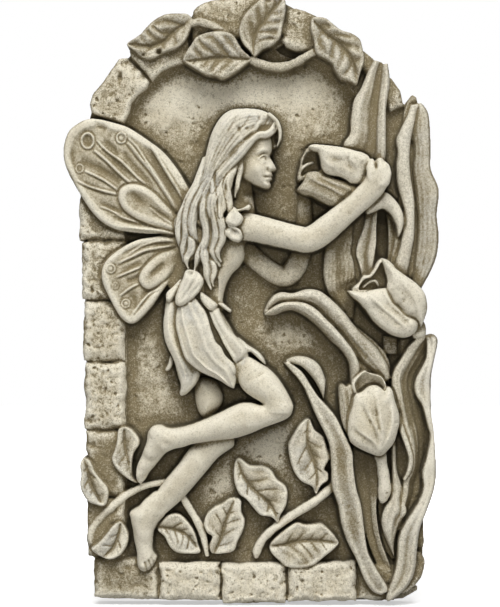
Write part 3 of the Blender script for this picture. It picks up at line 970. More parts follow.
def stem(path, radii, tops, seed=1.0, **finish):
    """A round stem along a path, a little knotted."""
    line = smooth_line(path, pieces=6)
    share = np.linspace(0, 1, len(line))
    radius = graded(radii, share)
    height = graded(tops, share) * MM - radius * SQUARE
    run = bpy.data.meshes.new("stem_path")
    run.from_pydata([((x - SHEET_CENTRE[0]) * SQUARE, -rise, (SHEET_CENTRE[1] - y) * SQUARE)
                     for (x, y), rise in zip(line, height)], [(k, k + 1) for k in range(len(line) - 1)], [])
    run.attributes.new("thick", 'FLOAT', 'POINT').data.foreach_set("value", radius * SQUARE)
    groove(path, max(radii) + 2, -1.5)
    press(made_with(tube, run, Knots=0.7, Seed=seed, Material=stone), join=1.5, **finish)


def creases(paths, width=2.0, rise=0.9):
    """Soft folds along a petal, each a ridge with a fall beside it."""
    for path in paths:
        line = beside(path, 0, 1.2, 1.3)
        groove(line, 0.8 * width, 0.8 * rise)
        groove(beside(line, 1.9 * width), 1.6 * width, -0.7 * rise)
        groove(beside(line, 1.1 * width), 0.5 * width, -0.6 * rise)


form([(366, 190), (384, 192), (391, 196), (398, 204), (402, 212), (403.5, 220), (402.5, 228), (398, 237),
      (396, 226), (392, 217), (388, 212), (382, 209), (374, 212), (366, 213)], 36, drop=4, width=8,
     moat=(4, 4), **PETAL)
form([(308, 148), (304, 153.5), (300.5, 159.5), (300, 165), (298, 172.5), (297.3, 179.4), (299, 181.6),
      (303, 180.3), (309, 178), (330, 178), (330, 160), (322, 147)], 37, drop=2, width=4, **SHADED_PETAL)
form([(306.5, 153.5), (313, 152), (319, 155), (322, 168), (316, 173), (309, 172), (304.5, 175), (301, 177),
      (301.5, 169), (303, 161)], 29, drop=-3, width=4, moat=None, cut=True, **SHADED_PETAL)
limb([(298.5, 178), (300.5, 171), (306, 165.5), (312.5, 163)], [1.3, 1.4, 1.4, 1.2], [36, 36, 35, 33],
     moat=None, **PETAL)
form([(303.5, 181), (305.6, 175.5), (309.7, 172.5), (316.5, 171.8), (322, 175), (330, 177), (345, 182),
      (352, 185), (364, 185), (358, 193), (351, 198.6), (342.6, 202.7), (335.7, 206.8), (327.5, 205.4),
      (320.7, 202), (312.4, 197.2), (304.2, 195.1), (298.7, 192.4), (297.3, 189)], 40.5, drop=6, width=13,
     moat=(3, 4), **SHADED_PETAL)
creases(([(308, 177), (318, 183), (333, 191), (347, 197)], [(318, 175), (330, 182), (345, 189), (355, 191)],
         [(300, 190), (312, 193), (328, 200), (338, 203)]))
form([(308, 148), (312.5, 145.3), (323.5, 145.8), (340, 147.8), (353.6, 151.3), (362, 153.5), (368.6, 158),
      (367, 165), (365, 172), (364, 179.5), (360.4, 184.5), (350.8, 184.3), (345.3, 180.7), (339.8, 178),
      (330.2, 176), (324.8, 174), (321, 168.4), (319.5, 160), (317.5, 153.5), (313.5, 152)], 43, drop=4.5,
     width=11, moat=(3.5, 4), slope=(340, 165, 0.0, -0.05), **PETAL)
creases(([(320, 152), (324, 162), (335, 171), (350, 180)], [(345, 153), (352, 163), (361, 172)]), 2.8, 0.6)
mound(336, 161, 7, 2.6, -0.9, turn=0.3)
mound(349, 168, 5, 2.2, -0.8, turn=0.7)
for path in ([(327, 158), (336, 161), (345, 160)], [(331, 168), (340, 170), (349, 174)],
             [(351, 158), (357, 161), (364, 163)]):
    stroke(path, 1.3, 0.35)
form([(352, 291), (359, 282), (363, 275.5), (370, 274), (381, 258), (396, 270), (396, 300), (370, 305)], 37,
     drop=2, width=4, **PETAL)
form([(358, 289.5), (363, 280), (370, 277.5), (375, 272), (382, 262), (388, 274), (386, 288), (378, 289.5),
      (367, 290)], 29, drop=-4, width=5, moat=None, cut=True, **SHADED_PETAL)
limb([(363, 287), (369, 282), (375, 281), (378, 286)], [1.2, 1.3, 1.3, 1.2], [33, 33.5, 33.5, 32], moat=None,
     **PETAL)
form([(347.5, 291), (353, 291), (362, 292.3), (373, 289.7), (381, 288.4), (387, 289), (394, 300), (403, 309),
      (416, 318), (417, 327.5), (412.5, 334.3), (404.3, 337.7), (393.3, 335.7), (383.7, 330.2), (374, 322),
      (366, 311), (359, 302.8), (352, 297)], 41.5, drop=6, width=15, moat=(3, 4), **PETAL)
creases(([(353, 294), (362, 305), (373, 318.5), (387, 329.5), (402, 334)],
         [(368, 294), (380, 306), (393, 318), (408, 328)], [(383, 292), (392, 305), (404, 316), (414, 326)]),
        2.2, 0.8)
form([(381, 258.2), (386.5, 261.6), (394.7, 268.5), (404.3, 275.3), (414, 282.2), (422, 290.4),
      (425.5, 298.7), (426.3, 309.6), (423.5, 319.2), (420, 327), (418, 322), (414, 318), (405.7, 315),
      (401.6, 311), (397.4, 305.5), (393.3, 302.8), (390.6, 297.3), (387.8, 291.8), (386, 287.7),
      (386.5, 280), (384, 270)], 42.5, drop=5, width=13, moat=(2.5, 3), **PETAL)
mound(387, 277, 3.5, 14, -1.6, turn=-0.3)
creases(([(391, 268), (403, 284), (415, 303), (421, 318)],), 2.6, 0.4)
mound(404, 296, 5, 9, -0.5, turn=-0.6)
form([(413, 322), (424, 322), (425, 336), (413, 338)], 34, drop=3, width=5, moat=None, **PETAL)
stem([(379, 446), (381.5, 462), (384, 478), (384.5, 490), (383, 498), (381.5, 503)],
     [6.5, 5.2, 5.8, 6, 5, 1.5], [34, 33, 32.5, 32, 31, 29], **PETAL)
form([(338.5, 387), (342, 383.5), (346, 386), (350, 384), (357, 392), (357, 425), (352, 438), (346, 433),
      (341, 420), (339, 405)], 37, drop=3, width=5, **SHADED_PETAL)
creases(([(342, 389), (344, 405), (344.5, 422)], [(348, 387), (349, 402), (347, 420)]), 1.4, 0.8)
form([(351, 383), (357.4, 374.5), (364, 370.3), (368.5, 372.5), (379, 375.2), (384, 380.8), (386, 390),
      (378, 398), (358, 398)], 38, drop=1.5, width=3, **PETAL)
form([(354.2, 384), (359, 376.2), (364.5, 372), (369.5, 374), (378.5, 376.8), (382.8, 382), (383, 389),
      (372, 389), (358, 393)], 32, drop=-3, width=3.5, moat=None, cut=True, **PETAL)
form([(353.8, 395), (361, 391.3), (368, 386), (375.4, 384.8), (381, 388), (384, 391), (387.2, 386),
      (391.7, 389.5), (394.5, 400.5), (399, 416.7), (397, 431), (393.5, 442), (386.2, 451), (381, 455),
      (375.4, 455), (364.6, 451), (352, 443.7), (348, 436.5), (347, 425.7), (348.4, 415), (351.5, 404)],
     42.5, drop=7, width=18, moat=(3.5, 5), **PETAL)
creases(([(376, 392), (378, 412), (381, 432), (381, 450)], [(362, 402), (371, 418), (378, 436), (380, 450)],
         [(353, 425), (364, 434), (374, 443), (379, 451)], [(390, 398), (392, 415), (388, 434), (383, 449)]),
        2.4, 0.9)

# The near arm
# A smooth bare arm held out level to the elbow, then up to the fingers closed round the first
# tulip, from a sleeve of three petals.
limb([(236, 226.5), (250, 227.5), (264, 230.5), (280, 234.5), (297, 238.5), (307, 240), (317, 236),
      (328, 227.5), (340, 217.5), (352, 207.5), (362, 198.5), (371, 189), (377, 179), (378.5, 172)],
     [13.5, 13.8, 13.4, 13, 12.7, 12.6, 12.9, 12.9, 12.2, 11.4, 11, 11.4, 12, 11.5],
     [40, 41, 41.3, 41.6, 42, 42.3, 42.8, 43, 43.3, 43.6, 44, 44.6, 45, 44.6], moat=(3.5, 3), sand=0.25,
     tint=0.1, wash=0.06)
for path, radii in (([(371, 178), (369.5, 169), (370.5, 162.5)], [5, 4.4, 3]),
                    ([(378, 178), (379, 170), (379, 163)], [7, 6, 4.2]),
                    ([(382, 182), (384.5, 175), (384, 168)], [7, 6, 4.4])):
    limb(path, radii, [45, 45, 43.6], moat=None, join=3, **SKIN)
for path, depth in (([(374.4, 158), (374.6, 164), (375.4, 170)], -4.0),
                    ([(381.5, 160.5), (382, 165), (382.5, 169)], -1.1),
                    ([(386, 166), (386.5, 170), (386, 174)], -0.8)):
    groove(path, 1.2, depth)
mound(375, 167, 1.2, 3, -4)
mound(309, 247, 8, 6, 0.7)
mound(303, 229, 6, 3, -0.6)
dab(280, 243, 26, 4, 0.08)
for petal, top, hollow_part in (([(225, 233), (229, 227), (234, 226), (239, 229), (242, 234), (242.4, 239),
                                  (239, 242.5), (233, 241.5), (228, 238)], 42.5,
                                 (235, 232.5, 3.6, 4.4, -1.6)),
                                ([(233, 207), (237, 209.5), (242, 209), (245.5, 207), (249, 205),
                                  (251, 207.5), (249, 210.5), (244, 210.8), (240, 212), (235, 211)], 43.5,
                                 (240, 212, 3, 1.4, -1.4)),
                                ([(225.5, 220), (228, 215), (232, 210.5), (234.5, 207.5), (238, 212),
                                  (241.5, 215.5), (243.5, 219.5), (241, 224.5), (236.5, 227), (231, 226.5),
                                  (227, 224.5)], 45, (233, 219, 3.4, 4, -0.9))):
    form(petal, top, drop=2.6, width=4.5, moat=(2.2, 3), **CLOTH)
    mound(*hollow_part)
limb([(228.5, 226.5), (234, 228.5), (239.5, 231.5), (241.6, 237.5)], [0.9, 1.1, 1.3, 1.2],
     [43, 43.4, 43.2, 42], moat=(1.4, 1.2), **CLOTH)
groove([(234.5, 209), (238.5, 213), (242, 217)], 1.2, 0.9)
groove([(228, 217), (232, 214), (236, 217)], 1.2, -0.7)

# The vine over the arch
# A vine laid over the arch bricks, with four leaves, each creased along its middle rib and
# scored with side veins.


def leaf(outline, midrib, top, dish=1.9, drop=2.6, width=3, veins=4, puff=0.75, moat=(3, 2.5),
         **finish):
    """A leaf dished to a creased middle rib, with a raised rim and cut side veins."""
    line = smooth_line(outline, True)
    rib = smooth_line(midrib, pieces=8)
    place, x, y = window(line, 8)
    distance, _, inside, _ = measure(line, True, x, y)
    edge = np.where(inside, distance, -distance)
    from_rib, along, _, side = measure(rib, False, x, y)
    across = from_rib / np.maximum(from_rib + np.maximum(edge, 0), 1e-6)
    length = np.hypot(*np.diff(rib, axis=0).T).sum()
    slant = (along - 0.95 * from_rib / length + 0.4 * (from_rib / length) ** 2 + 0.07 * side) * (veins + 1)
    off_vein = np.abs(slant - np.round(slant)) * length / (veins + 1)
    chance = np.modf(np.abs(np.sin(12.9898 * (np.round(slant) + 3 * side + top)) * 43.75))[0]
    scored = hump(off_vein, 0.65) * (0.4 + chance) * np.clip((0.35 + 0.45 * chance - across) / 0.3, 0, 1)
    scored = scored * (slant > 0.5) * (slant < veins + 0.5) * np.clip(edge / 3, 0, 1)
    puffed = np.cos(2 * math.pi * slant) * np.clip(edge / 6, 0, 1) * (1 - hump(from_rib, 5))
    height = top - drop * (1 - rounding(edge, width)) - dish * (1 - across) ** 1.5
    height = height + 0.5 * side * (1 - across)
    height = height - 0.9 * hump(from_rib, 4.0) - 1.5 * hump(from_rib, 1.0) - 1.5 * scored - puff * puffed
    height = height + 0.5 * np.sin(0.22 * x + 0.13 * y + 7 * top) * np.clip(edge / 5, 0, 1)
    height = height - 0.4 * hump(edge - 4.5, 2.0) * (across > 0.3)
    finish["wash"] = finish["wash"] + 0.7 * scored + 0.4 * hump(from_rib, 1.1)
    finish["wash"] = finish["wash"] + 0.12 * np.sin(0.3 * x - 0.2 * y + top)
    finish["tint"] = finish["tint"] + 0.8 * (side > 0)
    lay(place, height, edge, moat, **finish)


FOLIAGE = {"sand": 0.3, "tint": 0.2, "wash": 0.7}
form([(284, 43), (286, 47), (296, 51), (304, 52), (300, 56), (290, 56), (281, 52), (276, 48)], 13, 0, 2,
     moat=None, smooth=False, cut=True)
leaf([(127.3, 43), (134, 38.8), (141.2, 33.7), (147.3, 26.5), (155.5, 19.4), (165.7, 14.5), (176, 13.6),
      (187, 14), (193, 20), (191.2, 28.6), (188.2, 36.7), (184, 43), (178, 48.5), (169.8, 51.5),
      (161.6, 54.5), (152, 59.5), (143.3, 58.5), (135, 51.5), (128, 46.5)],
     [(191, 23), (182, 26), (171.8, 33), (163.7, 41), (148, 46), (130, 44)], 32.5, **FOLIAGE)
groove([(134, 46), (143, 52), (153, 52), (163, 47)], 2.2, 1.0)
mound(159, 52.4, 2.2, 2.4, -7)
mound(143.5, 55.5, 1.3, 1.2, -5)
stem([(186, 26), (198, 22.5), (206, 24), (216, 28), (226, 35), (234, 44)], [2.6, 3.6, 3.6, 3.4, 3.2, 3],
     [31, 33, 32.5, 32, 32, 32], 2.0, **FOLIAGE)
stem([(250, 59), (259.6, 63.3), (271.8, 66.3), (284, 66.3), (296.3, 62.2), (306.5, 56.1), (318, 50)],
     [3.6, 4, 4.1, 4.1, 4, 3.8, 3.4], [31, 30, 29.5, 29.5, 30, 31, 30], 3.0, **FOLIAGE)
leaf([(255, 57), (249, 51), (243.3, 44.9), (239.2, 34.7), (240.2, 24.5), (245.3, 14.3), (251.4, 8),
      (257.6, 2), (264, -1.5), (274, -3), (284, -1), (286, 6), (285, 16.3), (282, 30.6), (280, 38.8),
      (274, 45), (267.8, 48), (261.6, 51)],
     [(253.5, 54), (254, 41), (257.6, 30.6), (263.7, 22.4), (271.8, 12.2), (281, 1)], 33.5, **FOLIAGE)
mound(267.8, 0, 3, 2, -6)
leaf([(183, 61.2), (186, 53), (191.2, 44.9), (196.3, 37.8), (206.5, 33.2), (218.8, 31.8), (229, 33.2),
      (235, 37.8), (239.2, 44.9), (243.3, 51), (251.4, 59.2), (245.3, 65.3), (239.2, 70.4), (231, 75.8),
      (222.9, 79.3), (214.7, 76.8), (206.5, 75.5), (198.4, 71.4), (190.2, 66.5)],
     [(250.4, 59.6), (239.2, 59), (226.9, 58), (212.7, 58), (202.4, 60), (188, 61.4)], 34, **FOLIAGE)
leaf([(311, 21), (314, 17.5), (324.9, 18.4), (333, 24.5), (341.2, 30.6), (351.4, 33.7), (359.6, 39.8),
      (362.5, 49), (364, 61), (359.6, 75.5), (356.5, 85), (349.4, 81.8), (341.2, 79.8), (335, 71.6),
      (331, 63.5), (322.9, 58.4), (315.7, 53.4), (313.4, 40.8), (310.4, 30.6)],
     [(314, 22), (324.9, 34.7), (337, 43), (347.3, 55), (354.5, 69.4), (356.5, 83)], 34, **FOLIAGE)

# The low leaves
# Three bare stems and eight leaves along the foot of the panel, modelled as those of the vine
# are, with thinner veins.
LOW_STEMS = (([(167, 482), (146.4, 486), (134, 491), (123, 497.5), (110.7, 508), (100, 518.5), (92, 530),
               (89.5, 543)], [2.4, 3.3, 3.6, 3.6, 3.8, 4, 3.8, 1.6], [25, 25.5, 26, 27, 28, 28, 27.5, 27]),
             ([(181, 495), (191, 511.8), (198.2, 524.3), (203.6, 538.6), (207, 557)],
              [3, 3.6, 3.5, 3.5, 1.6], [26, 26.5, 26.5, 26, 25]),
             ([(337, 483), (316, 501), (302, 510), (287.5, 519), (273.2, 529.6), (262.5, 540.4), (257, 552),
               (256.3, 559)], [4, 4, 4, 4.2, 4, 4, 3.8, 1.6], [27, 27, 27, 26.5, 26.5, 26, 25, 24]))
LOW_LEAVES = (([(118.8, 428.8), (128.6, 427.5), (137.5, 435.9), (139.6, 444), (134, 453), (132, 463.6),
                (132.5, 476), (137.5, 483.5), (130.4, 480.5), (123.2, 475.2), (115.2, 467), (111.8, 458.2),
                (114.3, 451), (117, 440.4)], [(124, 430), (124.5, 444), (128, 460), (131, 474), (136, 483)],
               31.5, 3),
              ([(83.9, 457.5), (91, 461.8), (94.6, 470.7), (101.8, 479.6), (108.3, 488.6), (108, 499.3),
                (104.5, 505.8), (96.4, 504.8), (88.4, 501.3), (82, 492), (80, 483), (81.3, 474.3),
                (80, 465.4)], [(84.5, 460), (88.4, 474.3), (92, 486.8), (100, 501)], 32, 3),
              ([(119.6, 521.3), (125, 526), (128.8, 535), (127, 545.7), (120.5, 555), (110.7, 559.4),
                (100, 556), (91, 548.5), (98.2, 543), (105.4, 535), (112.5, 526)],
               [(120.5, 524), (118, 535), (113.5, 546), (104.5, 556)], 32, 2),
              ([(157, 529.6), (164.3, 518.5), (171.4, 514), (180.4, 515), (189.3, 524), (194.8, 533),
                (198.4, 545.7), (200.3, 553.3), (189.3, 554.3), (176.8, 553.2), (169.6, 547.5),
                (164, 536.8)], [(159, 527.5), (171.4, 529.6), (185.7, 535), (196.4, 547.5)], 27.5, 4),
              ([(228.6, 499), (223, 503), (214.3, 507.3), (207, 513.6), (203.7, 524.3), (207, 533),
                (212, 537), (209.5, 545.7), (212, 554), (223.2, 554), (234, 551.3), (237.7, 542),
                (243, 531.4), (245, 520.7), (241.4, 511.8), (241.3, 501), (235.7, 498)],
               [(214, 553.5), (221.4, 538.6), (225, 524.3), (230.4, 510), (235, 499)], 28.5, 4),
              ([(236, 460), (241, 458.8), (250, 465.2), (262.5, 466), (271.4, 470.5), (277, 479.3),
                (286, 486.6), (287.8, 495.7), (286, 506.4), (280.6, 515.4), (277.7, 523), (271.4, 517.4),
                (260.7, 515.6), (253.4, 508.4), (246.2, 499.6), (239, 494.2), (234.5, 483.2),
                (233.6, 470.7)],
               [(238, 462.5), (243, 476), (251.8, 488.6), (264.3, 499.3), (273.2, 510), (277.7, 521)], 29.5,
               4),
              ([(309, 418.5), (314.5, 429.4), (323.4, 436.6), (327, 447.5), (329.8, 458.2), (324.5, 468.9),
                (328.2, 473), (328, 480.7), (321.6, 485.2), (316, 494.5), (312.3, 487), (301.6, 481.6),
                (294.4, 472.7), (290, 460), (288.2, 445.7), (292.7, 435), (300, 424)],
               [(308, 421), (307, 436.8), (309, 449.3), (314.3, 463.6), (317, 478), (316, 491)], 30, 4),
              ([(269.6, 545.7), (275, 538.4), (285.7, 529.4), (296.4, 523), (307, 525), (321.4, 524),
                (330.6, 531.2), (337.8, 540.4), (337.8, 545.9), (325, 556.8), (312.5, 565.8), (300, 568.3),
                (287.5, 567.4), (280.2, 562), (271.2, 553.1)],
               [(270.5, 546.6), (285.7, 544.8), (298.2, 542), (314.3, 541), (336, 543.3)], 29, 5))
for path, radii, tops in LOW_STEMS:
    stem(path, radii, tops, path[0][0], sand=0.3, tint=0.1, wash=0.2)
for outline, midrib, top, veins in LOW_LEAVES:
    leaf(outline, midrib, top, veins=veins, puff=0.22, moat=(3.5, 2), sand=0.3, tint=0.1, wash=0.36)
dab(124, 455, 9, 22, 0.3)
dab(93, 482, 9, 16, 0.2)
dab(228, 525, 10, 16, -0.12)

# The casting and its wash
# The clay is moulded and cast in pale buff stone as one piece, with a flat back and a pocket in
# it for a nail head. A dark umber wash is brushed on and wiped off, so it stays in the hollows,
# and the raised edges are rubbed pale.
SPARE_BACK = 0.004
POCKET_WIDTH, POCKET_HEIGHT, POCKET_DEPTH = 0.022, 0.014, 0.011
POCKET_MIDDLE = 0.130
VOXEL = 0.00045
TRIANGLES = 197000


def blurred(field, size):
    """A field softened over a size in squares."""
    rows = np.fft.fftfreq(field.shape[0])[:, None]
    columns = np.fft.rfftfreq(field.shape[1])[None]
    soft = np.exp(-2 * (math.pi * size / STEP) ** 2 * (rows ** 2 + columns ** 2))
    return np.fft.irfft2(np.fft.rfft2(field) * soft, s=field.shape)


def grain(size, seed):
    """Even random roughness of one size, about -2 to 2."""
    field = blurred(np.random.default_rng(seed).normal(size=sheet_x.shape), size)
    return field / field.std()


clay += sandy * (0.12 * grain(1.3, 3) + 0.28 * grain(3.0, 4) + 0.14 * grain(7, 7)) + 0.10 * grain(5, 8)
pits = np.clip(grain(1.2, 5) - 1.5, 0, 1.2) + np.clip(grain(2.2, 6) - 2.0, 0, 1)
clay -= sandy * 1.5 * pits


def closed_solid(name):
    """Closes the heights into one solid with a flat back behind the finished one."""
    down, across = np.gradient(inward, STEP)
    size = np.maximum(np.hypot(down, across), 0.5)
    near = np.abs(inward) < 0.5 * STEP
    x = np.where(near, sheet_x - inward * across / size ** 2, sheet_x)
    y = np.where(near, sheet_y - inward * down / size ** 2, sheet_y)
    kept = (inward > 0) | near
    whole = kept[:-1, :-1] & kept[1:, :-1] & kept[1:, 1:] & kept[:-1, 1:]
    number = np.arange(kept.size).reshape(kept.shape)
    rows, columns = np.nonzero(whole)
    corners = np.stack([number[rows, columns], number[rows + 1, columns], number[rows + 1, columns + 1],
                        number[rows, columns + 1]], axis=1)
    used = np.unique(corners)
    place = np.full(kept.size, -1)
    place[used] = np.arange(len(used))
    front_faces = place[corners]
    back_faces = front_faces[:, ::-1] + len(used)
    edges = np.concatenate([front_faces[:, [k, (k + 1) % 4]] for k in range(4)])
    forward = edges[:, 0] * len(used) + edges[:, 1]
    backward = edges[:, 1] * len(used) + edges[:, 0]
    border = edges[~np.isin(forward, backward)]
    walls = np.stack([border[:, 1], border[:, 0], border[:, 0] + len(used), border[:, 1] + len(used)],
                     axis=1)
    right = (x.ravel()[used] - SHEET_CENTRE[0]) * SQUARE
    up = (SHEET_CENTRE[1] - y.ravel()[used]) * SQUARE
    front = np.stack([right, -np.maximum(clay, 1).ravel()[used] * MM, up], axis=1)
    back = np.stack([right, np.full(len(used), SPARE_BACK), up], axis=1)
    faces = np.vstack([front_faces, back_faces, walls]).astype(np.int32)
    spots = np.vstack([front, back])
    mesh = bpy.data.meshes.new(name)
    mesh.vertices.add(len(spots))
    mesh.vertices.foreach_set("co", spots.ravel())
    mesh.loops.add(faces.size)
    mesh.loops.foreach_set("vertex_index", faces.ravel())
    mesh.polygons.add(len(faces))
    mesh.polygons.foreach_set("loop_start", np.arange(0, faces.size, 4, dtype=np.int32))
    mesh.update(calc_edges=True)
    mesh.validate()
    piece = bpy.data.objects.new(name, mesh)
    bpy.context.collection.objects.link(piece)
    return piece


plaque = closed_solid("fairy_plaque_cast")
evened = plaque.modifiers.new("even", 'REMESH')
evened.mode = 'VOXEL'
evened.voxel_size = VOXEL
mesh = finished(plaque)
thinned = plaque.modifiers.new("thinned", 'DECIMATE')
thinned.ratio = min(1.0, TRIANGLES / (2 * len(mesh.polygons)))
mesh = finished(plaque)


def box(name, low, high):
    """A plain box from one corner to the other."""
    cube = bmesh.new()
    bmesh.ops.create_cube(cube, size=1.0)
    for corner in cube.verts:
        corner.co = [low[k] + (corner.co[k] + 0.5) * (high[k] - low[k]) for k in range(3)]
    data = bpy.data.meshes.new(name)
    cube.to_mesh(data)
    cube.free()
    made = bpy.data.objects.new(name, data)
    bpy.context.collection.objects.link(made)
    return made


cutters = (box("flat_back", (-0.2, 0.0, -0.2), (0.2, 0.02, 0.2)),
           box("pocket", (-POCKET_WIDTH / 2, -POCKET_DEPTH, POCKET_MIDDLE - POCKET_HEIGHT / 2),
               (POCKET_WIDTH / 2, 0.03, POCKET_MIDDLE + POCKET_HEIGHT / 2)))
for cutter in cutters:
    cut = plaque.modifiers.new(cutter.name, 'BOOLEAN')
    cut.operation = 'DIFFERENCE'
    cut.solver = 'EXACT'
    cut.object = cutter
mesh = finished(plaque)
for cutter in cutters:
    bpy.data.objects.remove(cutter)
spots = np.empty(len(mesh.vertices) * 3)
mesh.vertices.foreach_get("co", spots)
spots = spots.reshape(-1, 3)
low, high = np.array(frame_box[0]), np.array(frame_box[1])
spots = np.clip(spots, low, high)
mesh.vertices.foreach_set("co", spots.ravel())
mesh.update()
mesh.shade_smooth()
centres = np.empty(len(mesh.polygons) * 3)
mesh.polygons.foreach_get("center", centres)
across, back, up = centres.reshape(-1, 3).T
in_pocket = np.abs(across) < POCKET_WIDTH / 2 + 1e-4
in_pocket &= np.abs(up - POCKET_MIDDLE) < POCKET_HEIGHT / 2 + 1e-4
flat_faces = (back > -1e-4) | (in_pocket & (back > -POCKET_DEPTH - 1e-4))
mesh.polygons.foreach_set("use_smooth", ~flat_faces)


def on_mesh(field):
    """A sheet value at each point of the mesh."""
    column = np.clip((spots[:, 0] / SQUARE + SHEET_CENTRE[0] - sheet_x[0, 0]) / STEP, 0,
                     sheet_x.shape[1] - 1.001)
    row = np.clip((SHEET_CENTRE[1] - spots[:, 2] / SQUARE - sheet_y[0, 0]) / STEP, 0,
                  sheet_x.shape[0] - 1.001)
    i, j = row.astype(int), column.astype(int)
    u, v = row - i, column - j
    return (field[i, j] * (1 - u) * (1 - v) + field[i + 1, j] * u * (1 - v)
            + field[i, j + 1] * (1 - u) * v + field[i + 1, j + 1] * u * v)


def lowness(size):
    """How far each spot lies below the clay around it, in millimetres."""
    solid = (inward > 0).astype(float)
    level = blurred(clay * solid, size) / np.maximum(blurred(solid, size), 0.05)
    return (level - clay) * solid


WASH_EVERYWHERE = 0.13
deep = lowness(20)
middle = lowness(7)
small = lowness(3.5)
fine = lowness(2.2)
hollow = stain + WASH_EVERYWHERE + 0.75 * graded([0, 0.35, 0.8, 1, 1], (middle + 0.8) / 4)
hollow = hollow + 0.22 * np.clip((deep - 1) / 6, -0.4, 1)
hollow = hollow + 0.45 * np.clip(fine / 0.8, -0.25, 1) + 0.30 * np.clip(small / 1.2, -0.6, 1)
raised = np.clip(-fine / 0.5, 0, 1) * 0.5 + np.clip(-small / 1.0, 0, 1) * 0.3
raised = raised + np.clip(-middle / 4, 0, 1) * 0.3 + np.clip(-stain, 0, 1) * 0.8
pinched = np.clip((middle - 3) / 5, 0, 1) * np.clip(fine / 2, 0, 1)
behind = on_mesh(clay) * MM + spots[:, 1]
sides = np.clip(2 - on_mesh(inward), 0, 1) * np.clip(behind / 0.003, 0, 1)
unseen = np.where(spots[:, 1] > -0.012, 1, sides)


def store(name, values):
    """Keeps a value at each point of the mesh for the stone to read."""
    layer = mesh.attributes.new(name, 'FLOAT', 'POINT')
    layer.data.foreach_set("value", np.clip(values, 0, 1).astype(np.float32))


def on_front(field, elsewhere):
    """A sheet value at each point of the mesh, and one plain value on the sides and the back."""
    return on_mesh(field) * (1 - unseen) + elsewhere * unseen


store("hollow", on_front(hollow, 0.42) + 0.5 * np.clip(behind / 0.010, 0, 1) * (1 - unseen))
store("pinched", on_front(pinched, 0.0))
store("rubbed", on_front(raised, 0.0))
store("sandy", on_front(sandy, 0.8))
store("cool", on_front(cool, 0.2))

stone.use_nodes = True
nodes, links = stone.node_tree.nodes, stone.node_tree.links
shader = nodes["Principled BSDF"]
shader.inputs["Roughness"].default_value = 0.8
shader.inputs["Specular IOR Level"].default_value = 0.3


def attribute(name):
    """A value kept on the mesh."""
    node = nodes.new('ShaderNodeAttribute')
    node.attribute_name = name
    return node.outputs["Fac"]


def noise(scale, detail=4.0, roughness=0.6):
    """Cloudy marks of one size all over the stone."""
    node = nodes.new('ShaderNodeTexNoise')
    node.inputs["Scale"].default_value = scale
    node.inputs["Detail"].default_value = detail
    node.inputs["Roughness"].default_value = roughness
    links.new(stone_place.outputs["Object"], node.inputs["Vector"])
    return node.outputs["Fac"]


def maths(operation, first, second):
    """One sum on two values in the stone."""
    node = nodes.new('ShaderNodeMath')
    node.operation = operation
    for k, value in enumerate((first, second)):
        if hasattr(value, "is_linked"):
            links.new(value, node.inputs[k])
        else:
            node.inputs[k].default_value = value
    return node.outputs[0]


def mix(share, first, second):
    """One colour over another by a share."""
    node = nodes.new('ShaderNodeMix')
    node.data_type = 'RGBA'
    node.clamp_factor = True
    for socket, value in ((node.inputs[0], share), (node.inputs[6], first), (node.inputs[7], second)):
        if hasattr(value, "is_linked"):
            links.new(value, socket)
        else:
            socket.default_value = value
    return node.outputs[2]


def spread(value, low, high):
    """A value stretched so that low gives 0 and high gives 1."""
    node = nodes.new('ShaderNodeMapRange')
    node.inputs["From Min"].default_value = low
    node.inputs["From Max"].default_value = high
    links.new(value, node.inputs["Value"])
    return node.outputs[0]


stone_place = nodes.new('ShaderNodeTexCoord')
PALE = (0.67, 0.61, 0.465, 1)
BUFF = (0.55, 0.48, 0.335, 1)
COOL = (0.50, 0.495, 0.46, 1)
RUBBED = (0.86, 0.81, 0.67, 1)
WASH = (0.215, 0.172, 0.092, 1)
DEEP_WASH = (0.08, 0.066, 0.037, 1)
body = mix(spread(noise(70), 0.38, 0.62), PALE, BUFF)
body = mix(spread(noise(1400), 0.55, 0.72), body, RUBBED)
body = mix(maths('MULTIPLY', attribute("cool"), spread(noise(45), 0.35, 0.6)), body, COOL)
body = mix(maths('MULTIPLY', attribute("rubbed"), 0.8), body, RUBBED)
patchy = maths('ADD', attribute("hollow"), maths('MULTIPLY', maths('SUBTRACT', noise(160), 0.5), 0.15))
coarse = maths('ADD', maths('MULTIPLY', attribute("sandy"), 1.3), 0.7)
fine_grains = maths('SUBTRACT', maths('ADD', noise(1600, 3.0), noise(800, 3.0)), 1.0)
grains = maths('MULTIPLY', fine_grains, maths('MULTIPLY', coarse, 1.1))
washed = mix(maths('ADD', patchy, grains), body, WASH)
washed = mix(attribute("pinched"), washed, DEEP_WASH)
links.new(washed, shader.inputs["Base Color"])
bump = nodes.new('ShaderNodeBump')
bump.inputs["Strength"].default_value = 0.5
bump.inputs["Distance"].default_value = 0.0008
links.new(maths('ADD', noise(1300, 4.0), maths('MULTIPLY', noise(500), 0.6)), bump.inputs["Height"])
links.new(bump.outputs["Normal"], shader.inputs["Normal"])
mesh.materials.clear()
mesh.materials.append(stone)
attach(plaque, "root")
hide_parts("fairy_plaque")

